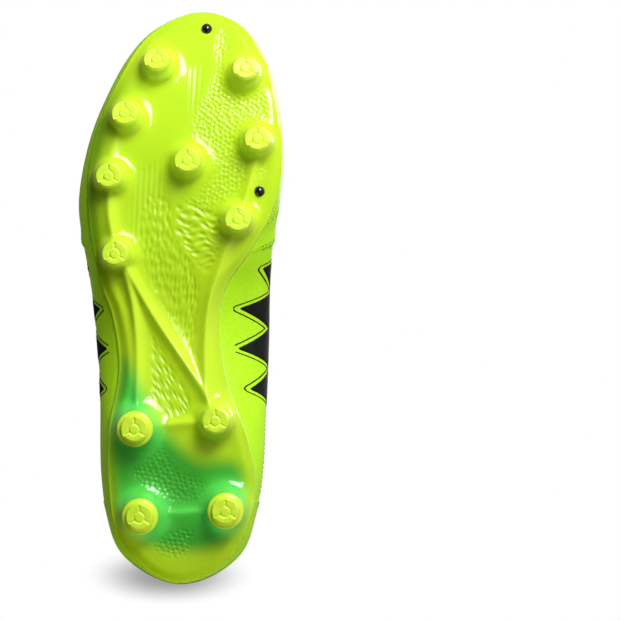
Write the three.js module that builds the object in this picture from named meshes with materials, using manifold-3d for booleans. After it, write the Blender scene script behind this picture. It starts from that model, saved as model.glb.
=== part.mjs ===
// Soccer cleat for a right foot, standing on its studs.
// Frame, in millimetres: +X to the toe, +Y to the inner (medial) side, +Z up, ground at z = 0.
import * as THREE from "three";
import { mergeVertices } from "three/addons/utils/BufferGeometryUtils.js";
import Module from "manifold-3d";

const wasm = await Module();
wasm.setup();

// ---- driving dimensions ----------------------------------------------------

// Seen from above: the edge of the outsole plate, and the widest line of the upper.
const PLATE_OUTLINE = [
  [-141, 0], [-134, -17], [-116, -31], [-92, -35], [-66, -35], [-36, -30.3], [-10, -33.5],
  [12, -40.5], [48, -45.2], [80, -41], [108, -29.5], [130, -15], [141.5, 8], [134, 30],
  [108, 45.5], [72, 50.4], [46, 47], [24, 36], [5, 23], [-16, 19.2], [-42, 23],
  [-68, 32.5], [-92, 37.2], [-115, 32.8], [-133, 20],
];
const UPPER_OUTLINE = [
  [-143.4, 0], [-139, -15.5], [-128, -30], [-112, -36.5], [-88, -40], [-50, -41], [-20, -43.5],
  [8, -46], [28, -49.5], [44, -51.6], [60, -50], [80, -45.2], [100, -37.5], [120, -27.5],
  [135, -13.5], [143.4, 8.5], [137, 29], [122, 41], [100, 48], [72, 51.6], [48, 49.6],
  [20, 45.6], [-20, 44], [-60, 42], [-88, 40.5], [-112, 36.5], [-128, 30], [-139, 16],
];
const HEEL_CENTRE = { x: -103, y: 0 }; // the ribs of the last fan out round these two points
const TOE_CENTRE = { x: 92, y: 5 };
const SPINE_STEPS = 20;
const TOE_FAN = 9;
const HEEL_FAN = 9;
const SLAB_SHARES = [0, 0.4, 0.7, 1]; // rings of points across a slab, from the spine to its edge

// Outsole
const HEEL_STUD_HEIGHT = 13; // from the ground to the plate
const BALL_STUD_HEIGHT = 11;
const ARCH_RISE = 5;
const ARCH_X = -15;
const ARCH_REACH = 32;
const TOE_SPRING_X = 62; // where the toe starts to curl up
const TOE_SPRING_RADIUS = 220;
const HEEL_SPRING_X = -115;
const HEEL_SPRING_RADIUS = 150;
const PLATE_THICKNESS = 2.2;
const GAP = 0.3; // between touching pieces
const RIB_DEPTH = 3.2;
const RIB_HALF_WIDTH = 3.4;

// What lies on the plate, from the bottom up
const MIDSOLE_HEEL = 5.2;
const MIDSOLE_TOE = 2;
const BOARD_THICKNESS = 1.5;
const SOCKLINER_THICKNESS = 3.6;
const CLOTH_THICKNESS = 0.6;
const BOARD_INSET = 5.2; // from the plate's edge, room for the walls of the upper
const SOCKLINER_INSET = 7.2;

// Upper: the height of its ridge over the plate along the shoe, and the depth of each layer under its skin
const RIDGE = [[-150, 98], [-60, 98], [-30, 88], [0, 70], [30, 55], [60, 43.5], [92, 35], [120, 27], [145, 20]];
const ROUNDNESS = 2.3; // exponent of the super-ellipse that each rib follows
const SKIN = [0, 1.5];
const STIFFENER = [1.9, 3];
const LINING = [3.4, 4.3];
const PADDING = [1.9, 6.6];
const TONGUE = [5.8, 10.4];
const OVERLAY = [-1.3, -0.35];
const SADDLE_LAYER = [-1, -0.35];

// Seams and openings, seen from the side (x, z)
const VAMP_SEAM = [[19, 0], [19, 14], [34, 36], [62, 62], [62, 140]];
const HEEL_SEAM = [[-98, 0], [-102, 30], [-112, 60], [-118, 140]];
const COLLAR = [[-165, 88], [-138, 85.5], [-112, 76.5], [-84, 71], [-56, 75], [-34, 87], [-21, 100], [-18, 112]];
const STIFFENER_TOP = 50;
const SADDLE_OUTLINE = [
  [33, 60], [-26, 84], [-66, 26], [-55, 40], [-46, 24], [-36, 40], [-26, 24], [-16, 39], [-6, 24], [3, 39], [14, 25],
];

// Throat and lacing, seen from above
const THROAT = { front: 64, back: -60, low: 45, half: 8, eyestayWidth: 13 };
const EYELET_X = [51, 38.5, 26, 13.5, 1, -11];
const EYELET_FROM_EDGE = 6;
const EYELET_RADIUS = 2.1;
const LACE_RADIUS = 1.15;
const LACE_STEPS = 170;
const AGLET_RADIUS = 1.45;
const AGLET_LENGTH = 12;

// Studs: name, place of the tip, and whether it is one of the wide heel studs
const STUDS = [
  ["toe_lateral_stud", 115.5, -11, false], ["front_lateral_stud", 88.5, -26, false],
  ["ball_lateral_stud", 58, -33.5, false], ["rear_lateral_stud", 20.5, -30.5, false],
  ["toe_medial_stud", 111, 32.5, false], ["ball_medial_stud", 76, 38.5, false],
  ["rear_medial_stud", 37, 29, false], ["centre_stud", 65.5, 4.5, false],
  ["heel_front_lateral_stud", -64.5, -21, true], ["heel_front_medial_stud", -60.5, 18.2, true],
  ["heel_rear_lateral_stud", -107, -18.5, true], ["heel_rear_medial_stud", -104.3, 23, true],
];
const STUD_PROFILE = [[4.9, 0], [5.7, 0.9], [6.3, 6.5], [7, 9], [8.6, 11.5]]; // radius, height over the tip
const HEEL_STUD_PROFILE = [[5.6, 0], [6.3, 0.8], [7.2, 2.6], [8, 8], [9, 12.5]];
const TACKS = [["toe_tack", 132.5, 12.8], ["ball_tack", 51.3, 39.2]];
const TACK_HEAD = 2.7;
const TACK_SHANK = 1.1;

// Moulded ribs under the plate, as the pairs of points they join
const RIBS = [
  [[58, -34], [22, -30]], [[19, -28], [-25, -20.7]], [[-25, -20.7], [-63, -21]], [[15, -27], [-59, 16]],
  [[35, 28], [0, 14.5]], [[0, 14.5], [-59, 16]], [[75, 38.5], [39, 30]], [[-63, -19], [-60, 15]], [[-107, -16], [-104, 20]],
];
const GEL_OUTLINE = [
  [-42, -24], [-60, -10], [-74, 2], [-84, 14], [-90, 26], [-104, 27], [-117, 19], [-122, 4], [-119, -12],
  [-108, -23], [-88, -26], [-62, -26],
];

// ---- colours ---------------------------------------------------------------

const finish = (color, roughness) => new THREE.MeshStandardMaterial({ color, roughness, metalness: 0 });
const LIME_PLATE = finish(0xb4ee12, 0.22);
const LIME_STUD = finish(0xc8f52a, 0.3);
const LIME_LEATHER = finish(0xa6ea10, 0.45);
const LIME_LINING = finish(0xb9e84a, 0.85);
const GREEN_GEL = finish(0x2fbf3f, 0.2);
const FOAM_WHITE = finish(0xe8e8e2, 0.9);
const BOARD_GREY = finish(0xb8b4a8, 0.9);
const BLACK_FILM = finish(0x101012, 0.5);
const BLACK_TACK = finish(0x0a0a0a, 0.15);
const BLACK_CLOTH = finish(0x1a1b1d, 0.95);
const LIME_LACE = finish(0xb8f01c, 0.8);
const CLEAR_TIP = finish(0xd8e8a0, 0.2);

// ---- small tools -----------------------------------------------------------

const smoothstep = (low, high, v) => THREE.MathUtils.smoothstep(v, low, high);
const lerp = THREE.MathUtils.lerp;

// A smooth function through [x, value] pairs: a cubic between each two, with slopes from the neighbours.
function smoothThrough(pairs, x) {
  const last = pairs.length - 1;
  let i = 0;
  while (i < last - 1 && x > pairs[i + 1][0]) i++;
  const slope = (k) => {
    const a = pairs[Math.max(k - 1, 0)];
    const b = pairs[Math.min(k + 1, last)];
    return (b[1] - a[1]) / (b[0] - a[0]);
  };
  const [x0, v0] = pairs[i];
  const [x1, v1] = pairs[i + 1];
  const w = x1 - x0;
  const t = THREE.MathUtils.clamp((x - x0) / w, 0, 1);
  const t2 = t * t;
  const t3 = t2 * t;
  return (2 * t3 - 3 * t2 + 1) * v0 + (t3 - 2 * t2 + t) * w * slope(i)
    + (3 * t2 - 2 * t3) * v1 + (t3 - t2) * w * slope(i + 1);
}

// Closed smooth curve through points seen from above, as a fine polyline.
function closedOutline(points, count = 400) {
  const curve = new THREE.CatmullRomCurve3(points.map(([x, y]) => new THREE.Vector3(x, y, 0)), true, "catmullrom", 0.5);
  return curve.getPoints(count);
}
const plateLine = closedOutline(PLATE_OUTLINE);
const upperLine = closedOutline(UPPER_OUTLINE);

// How far a ray from (sx, sy) along the unit vector (dx, dy) runs before it meets the outline.
function rayToOutline(line, sx, sy, dx, dy) {
  let far = 0;
  for (let i = 0; i < line.length - 1; i++) {
    const a = line[i];
    const b = line[i + 1];
    const ex = b.x - a.x;
    const ey = b.y - a.y;
    const cross = dx * ey - dy * ex;
    if (Math.abs(cross) < 1e-9) continue;
    const along = ((a.x - sx) * ey - (a.y - sy) * ex) / cross;
    const share = ((a.x - sx) * dy - (a.y - sy) * dx) / cross;
    if (along > 0 && share >= 0 && share <= 1) far = Math.max(far, along);
  }
  return far;
}

// Underside of the plate over the ground, and the level that the upper stands on.
function plateBottom(x) {
  const toe = Math.max(0, x - TOE_SPRING_X);
  const heel = Math.max(0, HEEL_SPRING_X - x);
  return lerp(HEEL_STUD_HEIGHT, BALL_STUD_HEIGHT, smoothstep(-60, 30, x))
    + ARCH_RISE * Math.exp(-(((x - ARCH_X) / ARCH_REACH) ** 2))
    + toe ** 2 / (2 * TOE_SPRING_RADIUS) + heel ** 2 / (2 * HEEL_SPRING_RADIUS);
}
const featherZ = (x) => plateBottom(x) + PLATE_THICKNESS + GAP;
const midsoleThickness = (x) => lerp(MIDSOLE_HEEL, MIDSOLE_TOE, smoothstep(-75, 20, x));
const boardZ = (x) => featherZ(x) + midsoleThickness(x) + GAP;
const socklinerZ = (x) => boardZ(x) + BOARD_THICKNESS + GAP;
const spineY = (x) => lerp(HEEL_CENTRE.y, TOE_CENTRE.y, smoothstep(-70, 70, x));

// The ribs of the last: each leaves the spine at (sx, sy) along (dx, dy), and ribs at one spine station share it.
function makeRibs() {
  const ribs = [];
  const add = (station, degrees) => {
    const sx = lerp(HEEL_CENTRE.x, TOE_CENTRE.x, station / SPINE_STEPS);
    const sy = spineY(sx);
    const angle = THREE.MathUtils.degToRad(degrees);
    const [dx, dy] = [Math.cos(angle), Math.sin(angle)];
    const plate = rayToOutline(plateLine, sx, sy, dx, dy);
    const upper = rayToOutline(upperLine, sx, sy, dx, dy);
    ribs.push({ station, sx, sy, dx, dy, plate, upper });
  };
  for (let i = 0; i <= SPINE_STEPS; i++) add(i, -90);
  for (let i = 1; i < TOE_FAN; i++) add(SPINE_STEPS, -90 + (180 * i) / TOE_FAN);
  for (let i = SPINE_STEPS; i >= 0; i--) add(i, 90);
  for (let i = 1; i < HEEL_FAN; i++) add(0, 90 + (180 * i) / HEEL_FAN);
  return ribs;
}
const ribs = makeRibs();

// ---- geometry builders -----------------------------------------------------

function geometryOf(points, triangles) {
  const positions = new Float32Array(points.flat());
  const geometry = new THREE.BufferGeometry();
  geometry.setAttribute("position", new THREE.BufferAttribute(positions, 3));
  geometry.setIndex(triangles);
  return geometry;
}

// Closed skin over the ribs. profile(rib) lists its points from the keel to the ridge, both on the spine.
function ribLoft(profile) {
  const rows = ribs.map(profile);
  const levels = rows[0].length;
  const points = [];
  const keel = [];
  const ridge = [];
  const ids = rows.map((row, r) => {
    const station = ribs[r].station;
    return row.map((point, level) => {
      const shared = level === 0 ? keel : level === levels - 1 ? ridge : null;
      if (shared && shared[station] !== undefined) return shared[station];
      points.push(point);
      if (shared) shared[station] = points.length - 1;
      return points.length - 1;
    });
  });
  const triangles = [];
  const face = (a, b, c) => {
    if (a !== b && b !== c && a !== c) triangles.push(a, b, c);
  };
  for (let r = 0; r < ids.length; r++) {
    const here = ids[r];
    const next = ids[(r + 1) % ids.length];
    for (let l = 0; l < levels - 1; l++) {
      face(here[l], next[l], next[l + 1]);
      face(here[l], next[l + 1], here[l + 1]);
    }
  }
  return solidOf(geometryOf(points, triangles));
}

// Closed skin over a row of rings that all have the same number of points, with flat ends.
function sweep(rings) {
  const n = rings[0].length;
  const points = rings.flat();
  const triangles = [];
  for (let r = 0; r < rings.length - 1; r++) {
    for (let i = 0; i < n; i++) {
      const j = (i + 1) % n;
      const [a, b, c, d] = [r * n + i, r * n + j, (r + 1) * n + j, (r + 1) * n + i];
      triangles.push(a, b, c, a, c, d);
    }
  }
  const end = (rings.length - 1) * n;
  for (let i = 1; i < n - 1; i++) triangles.push(0, i + 1, i, end, end + i, end + i + 1);
  return solidOf(geometryOf(points, triangles));
}

function solidOf(geometry) {
  const bare = geometry.clone();
  bare.deleteAttribute("normal");
  bare.deleteAttribute("uv");
  const merged = mergeVertices(bare, 1e-4);
  const solid = new wasm.Manifold(new wasm.Mesh({
    numProp: 3,
    vertProperties: merged.attributes.position.array,
    triVerts: new Uint32Array(merged.index.array),
  }));
  if (solid.volume() < 0) throw new Error("a solid is inside out");
  return solid;
}

function meshOf(name, solid, material) {
  const { vertProperties, triVerts } = solid.getMesh();
  const geometry = new THREE.BufferGeometry();
  geometry.setAttribute("position", new THREE.BufferAttribute(vertProperties, 3));
  geometry.setIndex(new THREE.BufferAttribute(triVerts, 1));
  geometry.computeVertexNormals();
  const mesh = new THREE.Mesh(geometry, material);
  mesh.name = name;
  return mesh;
}

function flatShape(points, rounded = false) {
  const corners = points.map(([x, y]) => new THREE.Vector2(x, y));
  if (!rounded) return new THREE.Shape(corners);
  return new THREE.Shape(closedOutline(points, points.length * 4).slice(0, -1).map((p) => new THREE.Vector2(p.x, p.y)));
}

// Upright prism over an outline seen from above (x, y).
function planPrism(shape, low = -20, high = 140) {
  const geometry = new THREE.ExtrudeGeometry(shape, { depth: high - low, bevelEnabled: false, curveSegments: 8 });
  geometry.translate(0, 0, low);
  return solidOf(geometry);
}

// Prism across the shoe over an outline seen from the side (x, z).
function sidePrism(points, low = -90, high = 90) {
  const geometry = new THREE.ExtrudeGeometry(flatShape(points), { depth: high - low, bevelEnabled: false });
  geometry.rotateX(Math.PI / 2);
  geometry.translate(0, high, 0);
  return solidOf(geometry);
}

const shifted = (points, dx) => points.map(([x, z]) => [x + dx, z]);

function lathe(profile, x, y, z, segments = 16) {
  const geometry = new THREE.LatheGeometry(profile.map(([r, h]) => new THREE.Vector2(r, h)), segments);
  geometry.rotateX(Math.PI / 2);
  geometry.translate(x, y, z);
  return solidOf(geometry);
}

// A round rod centred on a point, along a unit vector.
function rod(radius, length, centre, axis) {
  const geometry = new THREE.CylinderGeometry(radius, radius, length, 12);
  geometry.applyQuaternion(new THREE.Quaternion().setFromUnitVectors(new THREE.Vector3(0, 1, 0), axis));
  geometry.translate(centre.x, centre.y, centre.z);
  return solidOf(geometry);
}

// ---- the last: the solid form inside every layer of the upper -----------------

const LEVELS = 10;

// A point on the rib at angle phi (0 at the sole, a quarter turn at the ridge), depth under the skin.
function lastPoint(rib, phi, depth) {
  const across = phi >= Math.PI / 2 ? 0 : Math.cos(phi) ** (2 / ROUNDNESS);
  const up = Math.sin(phi) ** (2 / ROUNDNESS);
  const belly = rib.upper - rib.plate;
  const bellyHeight = 8 + 0.6 * belly;
  let x = rib.sx + rib.dx * rib.upper * across;
  let reach = 0;
  for (let pass = 0; pass < 2; pass++) {
    const height = (smoothThrough(RIDGE, x) - depth) * up;
    const swell = Math.sin((Math.min(height / bellyHeight, 1) * Math.PI) / 2);
    reach = (rib.plate + belly * swell - depth) * across;
    x = rib.sx + rib.dx * reach;
  }
  return [x, rib.sy + rib.dy * reach, featherZ(x) + (smoothThrough(RIDGE, x) - depth) * up];
}

// The last, shrunk by depth, with its floor at the plate or sunk below it.
function last(depth, floorDrop = 0) {
  return ribLoft((rib) => {
    const edge = rib.plate - depth;
    const x = rib.sx + rib.dx * edge;
    const rows = [[rib.sx, rib.sy, featherZ(rib.sx) - floorDrop], [x, rib.sy + rib.dy * edge, featherZ(x) - floorDrop]];
    const start = floorDrop ? 0 : 1;
    for (let l = start; l <= LEVELS; l++) {
      const share = l / LEVELS;
      rows.push(lastPoint(rib, (share * Math.PI) / 2, depth));
    }
    return rows;
  });
}

// Shell between two depths, open below.
const layer = ([outer, inner]) => last(outer).subtract(last(inner, 6));

// A slab between two heights over the ground, its edge inset from the plate's.
function slab(inset, low, high) {
  return ribLoft((rib) => {
    const at = (share, level) => {
      const x = rib.sx + rib.dx * (rib.plate - inset) * share;
      return [x, rib.sy + rib.dy * (rib.plate - inset) * share, level(x)];
    };
    return [...SLAB_SHARES.map((share) => at(share, low)), ...SLAB_SHARES.toReversed().map((share) => at(share, high))];
  });
}

// The point on the upper's skin at a distance from the spine line, on the side +1 (medial) or -1 (lateral).
function skinPoint(x, side, fromSpine, depth) {
  const sy = spineY(x);
  const rib = { sx: x, sy, dx: 0, dy: side };
  rib.plate = rayToOutline(plateLine, x, sy, 0, side);
  rib.upper = rayToOutline(upperLine, x, sy, 0, side);
  let [low, high] = [0.1, Math.PI / 2];
  for (let i = 0; i < 30; i++) {
    const phi = (low + high) / 2;
    if (Math.abs(lastPoint(rib, phi, depth)[1] - sy) > fromSpine) low = phi;
    else high = phi;
  }
  return new THREE.Vector3(...lastPoint(rib, low, depth));
}

function skinNormal(x, side, fromSpine) {
  const here = skinPoint(x, side, fromSpine, 0);
  const ahead = skinPoint(x + 1, side, fromSpine, 0).sub(here);
  const outward = skinPoint(x, side, fromSpine + 1, 0).sub(here);
  return ahead.cross(outward).multiplyScalar(side).normalize();
}

// ---- regions ---------------------------------------------------------------

// Plan outline of the throat, grown by a margin, with a rounded front.
function throatOutline(margin, back = THROAT.back) {
  const side = [];
  for (let x = back; x < THROAT.front - 8; x += 9) side.push([x, THROAT.half + margin]);
  const nose = THROAT.front - 8;
  const radius = THROAT.half + margin;
  const arc = [];
  for (let i = 0; i <= 8; i++) {
    const angle = Math.PI / 2 - (Math.PI * i) / 8;
    arc.push([nose + (8 + margin) * Math.cos(angle), radius * Math.sin(angle)]);
  }
  const outline = [...side, ...arc, ...side.map(([x, y]) => [x, -y]).reverse()];
  return outline.map(([x, y]) => [x, y + spineY(x)]);
}

const overThroat = (outline) => planPrism(flatShape(outline), THROAT.low);
const throatCut = overThroat(throatOutline(0));
const collarCut = sidePrism([...COLLAR, [-18, 200], [-165, 200]]);
const openTop = throatCut.add(collarCut);
const halfSpace = (side) => {
  const line = [];
  for (let x = -160; x <= 160; x += 10) line.push([x, spineY(x)]);
  return planPrism(flatShape([...line, [160, 90 * side], [-160, 90 * side]]));
};
const SIDES = [["lateral", halfSpace(-1)], ["medial", halfSpace(1)]];
const vampRegion = (gap) => sidePrism([...shifted(VAMP_SEAM, gap), [160, 140], [160, 0]]);
const heelRegion = (gap) => sidePrism([[-165, 0], ...shifted(HEEL_SEAM, -gap), [-165, 140]]);
const belowHeight = (height, from, to) => sidePrism([[from, 0], [to, 0], [to, height], [from, height]]);

// ---- sub-parts: sole unit ---------------------------------------------------

// A stud with its tip on the ground, or lifted with the plate where the toe curls up.
function stud(x, y, wide, grow = 0) {
  const profile = wide ? HEEL_STUD_PROFILE : STUD_PROFILE;
  const tip = x > TOE_SPRING_X ? plateBottom(x) - BALL_STUD_HEIGHT : 0;
  const [rootRadius, rootHeight] = profile.at(-1);
  const top = rootHeight + 8;
  const side = profile.map(([r, h]) => [r + grow, h === 0 ? -grow : h]);
  return lathe([[0, -grow], ...side, [rootRadius + grow, top], [0, top]], x, y, tip);
}

function makeStuds() {
  const plateRoom = slab(0, (x) => plateBottom(x) - GAP, (x) => plateBottom(x) + 20);
  return STUDS.map(([name, x, y, wide]) => meshOf(name, stud(x, y, wide).subtract(plateRoom), LIME_STUD));
}

// A tapered beam under the plate from a to b, sunk into it so that the two fuse.
function plateRib([ax, ay], [bx, by]) {
  const steps = 4;
  const length = Math.hypot(bx - ax, by - ay);
  const [nx, ny] = [-(by - ay) / length, (bx - ax) / length];
  const rings = [];
  for (let i = 0; i <= steps; i++) {
    const x = lerp(ax, bx, i / steps);
    const y = lerp(ay, by, i / steps);
    const z = plateBottom(x);
    const corner = (share, depth) => [x + nx * RIB_HALF_WIDTH * share, y + ny * RIB_HALF_WIDTH * share, z - depth];
    rings.push([corner(1, -1), corner(-1, -1), corner(-0.3, RIB_DEPTH), corner(0.3, RIB_DEPTH)]);
  }
  return sweep(rings);
}

function makePlate() {
  let plate = slab(0, plateBottom, (x) => plateBottom(x) + PLATE_THICKNESS);
  for (const [a, b] of RIBS) plate = plate.add(plateRib(a, b));
  const below = slab(-12, (x) => plateBottom(x) - 30, plateBottom);
  for (const [, x, y, wide] of STUDS) plate = plate.subtract(stud(x, y, wide, GAP).intersect(below));
  return meshOf("outsole_plate", plate.subtract(tackHoles()), LIME_PLATE);
}

function tackHoles() {
  return TACKS.map(([, x, y]) => lathe([[0, 0], [TACK_SHANK + GAP, 0], [TACK_SHANK + GAP, 16], [0, 16]], x, y, plateBottom(x) - 2, 10))
    .reduce((a, b) => a.add(b));
}

function makeTacks() {
  const dome = [[0, -2.6], [1.4, -2.3], [2.4, -1.4], [TACK_HEAD, -0.6], [TACK_SHANK, -0.6], [TACK_SHANK, 5.2], [0, 5.2]];
  return TACKS.map(([name, x, y]) => meshOf(name, lathe(dome, x, y, plateBottom(x) - 0.4, 12), BLACK_TACK));
}

function makeInnerSole() {
  const holes = tackHoles();
  const gelShape = (grow) => flatShape(GEL_OUTLINE.map(([x, y]) => {
    const [cx, cy] = [-88, -3];
    const size = Math.hypot(x - cx, y - cy);
    return [cx + ((x - cx) * (size + grow)) / size, cy + ((y - cy) * (size + grow)) / size];
  }), true);
  const cushion = slab(BOARD_INSET, featherZ, (x) => featherZ(x) + midsoleThickness(x));
  const midsole = cushion.subtract(planPrism(gelShape(0.6))).subtract(holes);
  const gel = cushion.intersect(planPrism(gelShape(0)));
  const board = slab(BOARD_INSET, boardZ, (x) => boardZ(x) + BOARD_THICKNESS).subtract(holes);
  const clothZ = (x) => socklinerZ(x) + SOCKLINER_THICKNESS + GAP;
  const sockliner = slab(SOCKLINER_INSET, socklinerZ, (x) => socklinerZ(x) + SOCKLINER_THICKNESS);
  const cloth = slab(SOCKLINER_INSET + 0.3, clothZ, (x) => clothZ(x) + CLOTH_THICKNESS);
  return [
    meshOf("midsole_foam", midsole, FOAM_WHITE), meshOf("heel_gel_pad", gel, GREEN_GEL),
    meshOf("lasting_board", board, BOARD_GREY), meshOf("sockliner", sockliner, FOAM_WHITE),
    meshOf("sockliner_cloth", cloth, BLACK_CLOTH),
  ];
}

// ---- sub-parts: upper --------------------------------------------------------

function eyeletDrill(side) {
  return EYELET_X.map((x) => {
    const fromSpine = THROAT.half + EYELET_FROM_EDGE;
    return rod(EYELET_RADIUS, 14, skinPoint(x, side, fromSpine, 0), skinNormal(x, side, fromSpine));
  }).reduce((a, b) => a.add(b));
}

function makeUpper() {
  const skin = layer(SKIN).subtract(openTop);
  const drills = { lateral: eyeletDrill(-1), medial: eyeletDrill(1) };
  const bothDrills = drills.lateral.add(drills.medial);
  const found = [meshOf("vamp", skin.intersect(vampRegion(0.25)), LIME_LEATHER)];
  found.push(meshOf("heel_cover", skin.intersect(heelRegion(0.25)), LIME_LEATHER));
  const quarters = skin.subtract(vampRegion(-0.25)).subtract(heelRegion(-0.25)).subtract(bothDrills);
  const strip = overThroat(throatOutline(THROAT.eyestayWidth, -40)).subtract(overThroat(throatOutline(0.2)));
  const eyestays = layer(OVERLAY).intersect(strip).subtract(collarCut).subtract(bothDrills);
  const saddleRoom = overThroat(throatOutline(THROAT.eyestayWidth + 0.6));
  const saddles = layer(SADDLE_LAYER).intersect(sidePrism(SADDLE_OUTLINE)).subtract(saddleRoom).subtract(collarCut);
  for (const [name, half] of SIDES) {
    found.push(meshOf(`${name}_quarter`, quarters.intersect(half), LIME_LEATHER));
    found.push(meshOf(`${name}_eyestay`, eyestays.intersect(half.subtract(throatNoseGap())), LIME_LEATHER));
    found.push(meshOf(`${name}_saddle`, saddles.intersect(half), BLACK_FILM));
  }
  return found;
}

// A thin slot on the spine line that parts the two eyestays in front of the throat.
function throatNoseGap() {
  return planPrism(flatShape([[50, spineY(60) - 0.4], [90, spineY(60) - 0.4], [90, spineY(60) + 0.4], [50, spineY(60) + 0.4]]));
}

function makeInnerLayers() {
  const aboveBoard = slab(-20, () => -20, (x) => featherZ(x) + midsoleThickness(x) + GAP + 1);
  const throatRoom = overThroat(throatOutline(18));
  const stiffener = layer(STIFFENER);
  const counter = stiffener.intersect(belowHeight(STIFFENER_TOP, -160, -72));
  const puff = stiffener.intersect(sidePrism([[104, 0], [160, 0], [160, 140], [104, 140]]));
  const lining = layer(LINING).subtract(aboveBoard);
  const vampLining = lining.intersect(sidePrism([[14, 0], [160, 0], [160, 140], [14, 140]])).subtract(throatRoom);
  const heelLining = lining.intersect(belowHeight(STIFFENER_TOP, -160, 13.6)).subtract(throatRoom);
  const collarTop = sidePrism([...COLLAR.slice(0, -2).map(([x, z]) => [x, z - 0.6]), [-34, STIFFENER_TOP + 0.5], [-165, STIFFENER_TOP + 0.5]]);
  const padding = layer(PADDING).intersect(collarTop);
  return [
    meshOf("heel_counter", counter, BOARD_GREY), meshOf("toe_puff", puff, BOARD_GREY),
    meshOf("vamp_lining", vampLining, LIME_LINING), meshOf("heel_lining", heelLining, LIME_LINING),
    meshOf("collar_padding", padding, LIME_LINING),
  ];
}

function makeTongue() {
  const outline = [[60, -9], [40, -17], [10, -21], [-20, -21], [-42, -18], [-46, -8], [-46, 8], [-42, 18], [-20, 21],
    [10, 21], [40, 17], [60, 9]].map(([x, y]) => [x, y + spineY(x)]);
  return meshOf("tongue", layer(TONGUE).intersect(overThroat(outline)), LIME_LEATHER);
}

// ---- sub-parts: lacing -------------------------------------------------------

// Half of the lace's route, from the bar between the front eyelets to the end tucked into the shoe.
// It comes up through an eyelet, crosses over the tongue, slips under the far edge and comes up through the next.
function laceHalf(startSide) {
  const route = [];
  const put = (x, side, fromSpine, depth) => route.push(skinPoint(x, side, fromSpine, depth));
  let side = startSide;
  EYELET_X.forEach((x, row) => {
    const edge = THROAT.half;
    const hole = edge + EYELET_FROM_EDGE;
    const axis = skinNormal(x, side, hole);
    const centre = skinPoint(x, side, hole, 0);
    const under = centre.clone().addScaledVector(axis, -1.8);
    const over = centre.clone().addScaledVector(axis, 1.6);
    if (row === EYELET_X.length - 1) {
      put(x + 1.6, side, hole - 3.4, -3);
      route.push(over, under);
      return;
    }
    put(x + (row ? 2 : 0), side, hole - 4, 3.55);
    route.push(under, over);
    const next = EYELET_X[row + 1];
    const nextIsTop = row === EYELET_X.length - 2;
    put(x - 2.4, side, hole - 3.6, -3);
    put(lerp(x, next, 0.32), side, edge - 3, -2.6);
    put((x + next) / 2, side, 0.05, startSide > 0 ? -1.8 : 1.6);
    put(lerp(x, next, 0.68), -side, edge - 3, nextIsTop ? -2.4 : 2.9);
    side = -side;
  });
  return { route, side };
}

// The tail runs from the top eyelet down between the quarter and the tongue; its last point is the aglet's far end.
function laceTail(side) {
  const x = EYELET_X[EYELET_X.length - 1];
  const hole = THROAT.half + EYELET_FROM_EDGE;
  return [3, 7, 10, 19].map((down) => skinPoint(x - down / 4, side, hole + down, 3.5 + down / 12));
}

function makeLace() {
  const halves = [laceHalf(-1), laceHalf(1)];
  const tails = halves.map(({ side }) => laceTail(side));
  const runs = halves.map(({ route }, i) => [...route, ...tails[i].slice(0, -1)]);
  const extrudePath = new THREE.CatmullRomCurve3([...runs[0].reverse(), ...runs[1]], false, "centripetal");
  const section = new THREE.Shape().absarc(0, 0, LACE_RADIUS, 0, 2 * Math.PI);
  const lace = new THREE.ExtrudeGeometry(section, { steps: LACE_STEPS, curveSegments: 3, extrudePath });
  const aglets = tails.map((tail, i) => {
    const [end, farEnd] = tail.slice(-2);
    const way = farEnd.clone().sub(end).normalize();
    const middle = end.clone().addScaledVector(way, 2 * GAP + AGLET_LENGTH / 2);
    const name = halves[i].side < 0 ? "lateral_aglet" : "medial_aglet";
    return meshOf(name, rod(AGLET_RADIUS, AGLET_LENGTH, middle, way), CLEAR_TIP);
  });
  return [meshOf("lace", solidOf(lace), LIME_LACE), ...aglets];
}

// ---- assembly ----------------------------------------------------------------

const cleat = new THREE.Group();
cleat.add(makePlate(), ...makeStuds(), ...makeTacks(), ...makeInnerSole(), ...makeUpper(), ...makeInnerLayers(),
  makeTongue(), ...makeLace());
export default cleat;
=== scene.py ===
"""A soccer cleat for a right foot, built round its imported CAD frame.

Lengths in the shape functions are millimetres in the frame of the part: +X to the toe, +Y to the inner side,
+Z up from the ground. put_mesh turns them to metres.
"""
import math

import bpy
import numpy as np
from mathutils import Matrix, Vector


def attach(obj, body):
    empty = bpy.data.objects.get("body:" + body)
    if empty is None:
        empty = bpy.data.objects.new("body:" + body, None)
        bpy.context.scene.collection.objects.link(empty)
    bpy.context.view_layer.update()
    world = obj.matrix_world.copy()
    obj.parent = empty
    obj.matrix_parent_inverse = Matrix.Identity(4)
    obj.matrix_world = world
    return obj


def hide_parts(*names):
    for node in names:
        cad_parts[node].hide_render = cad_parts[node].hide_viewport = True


bl_info = {
    "name": "Soccer cleat",
    "version": (1, 0, 0),
    "blender": (4, 5, 0),
    "location": "View3D > Sidebar > Cleat",
    "description": "Builds a soccer cleat with a moulded stud plate round its packed frame",
    "category": "Add Mesh",
}

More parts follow.
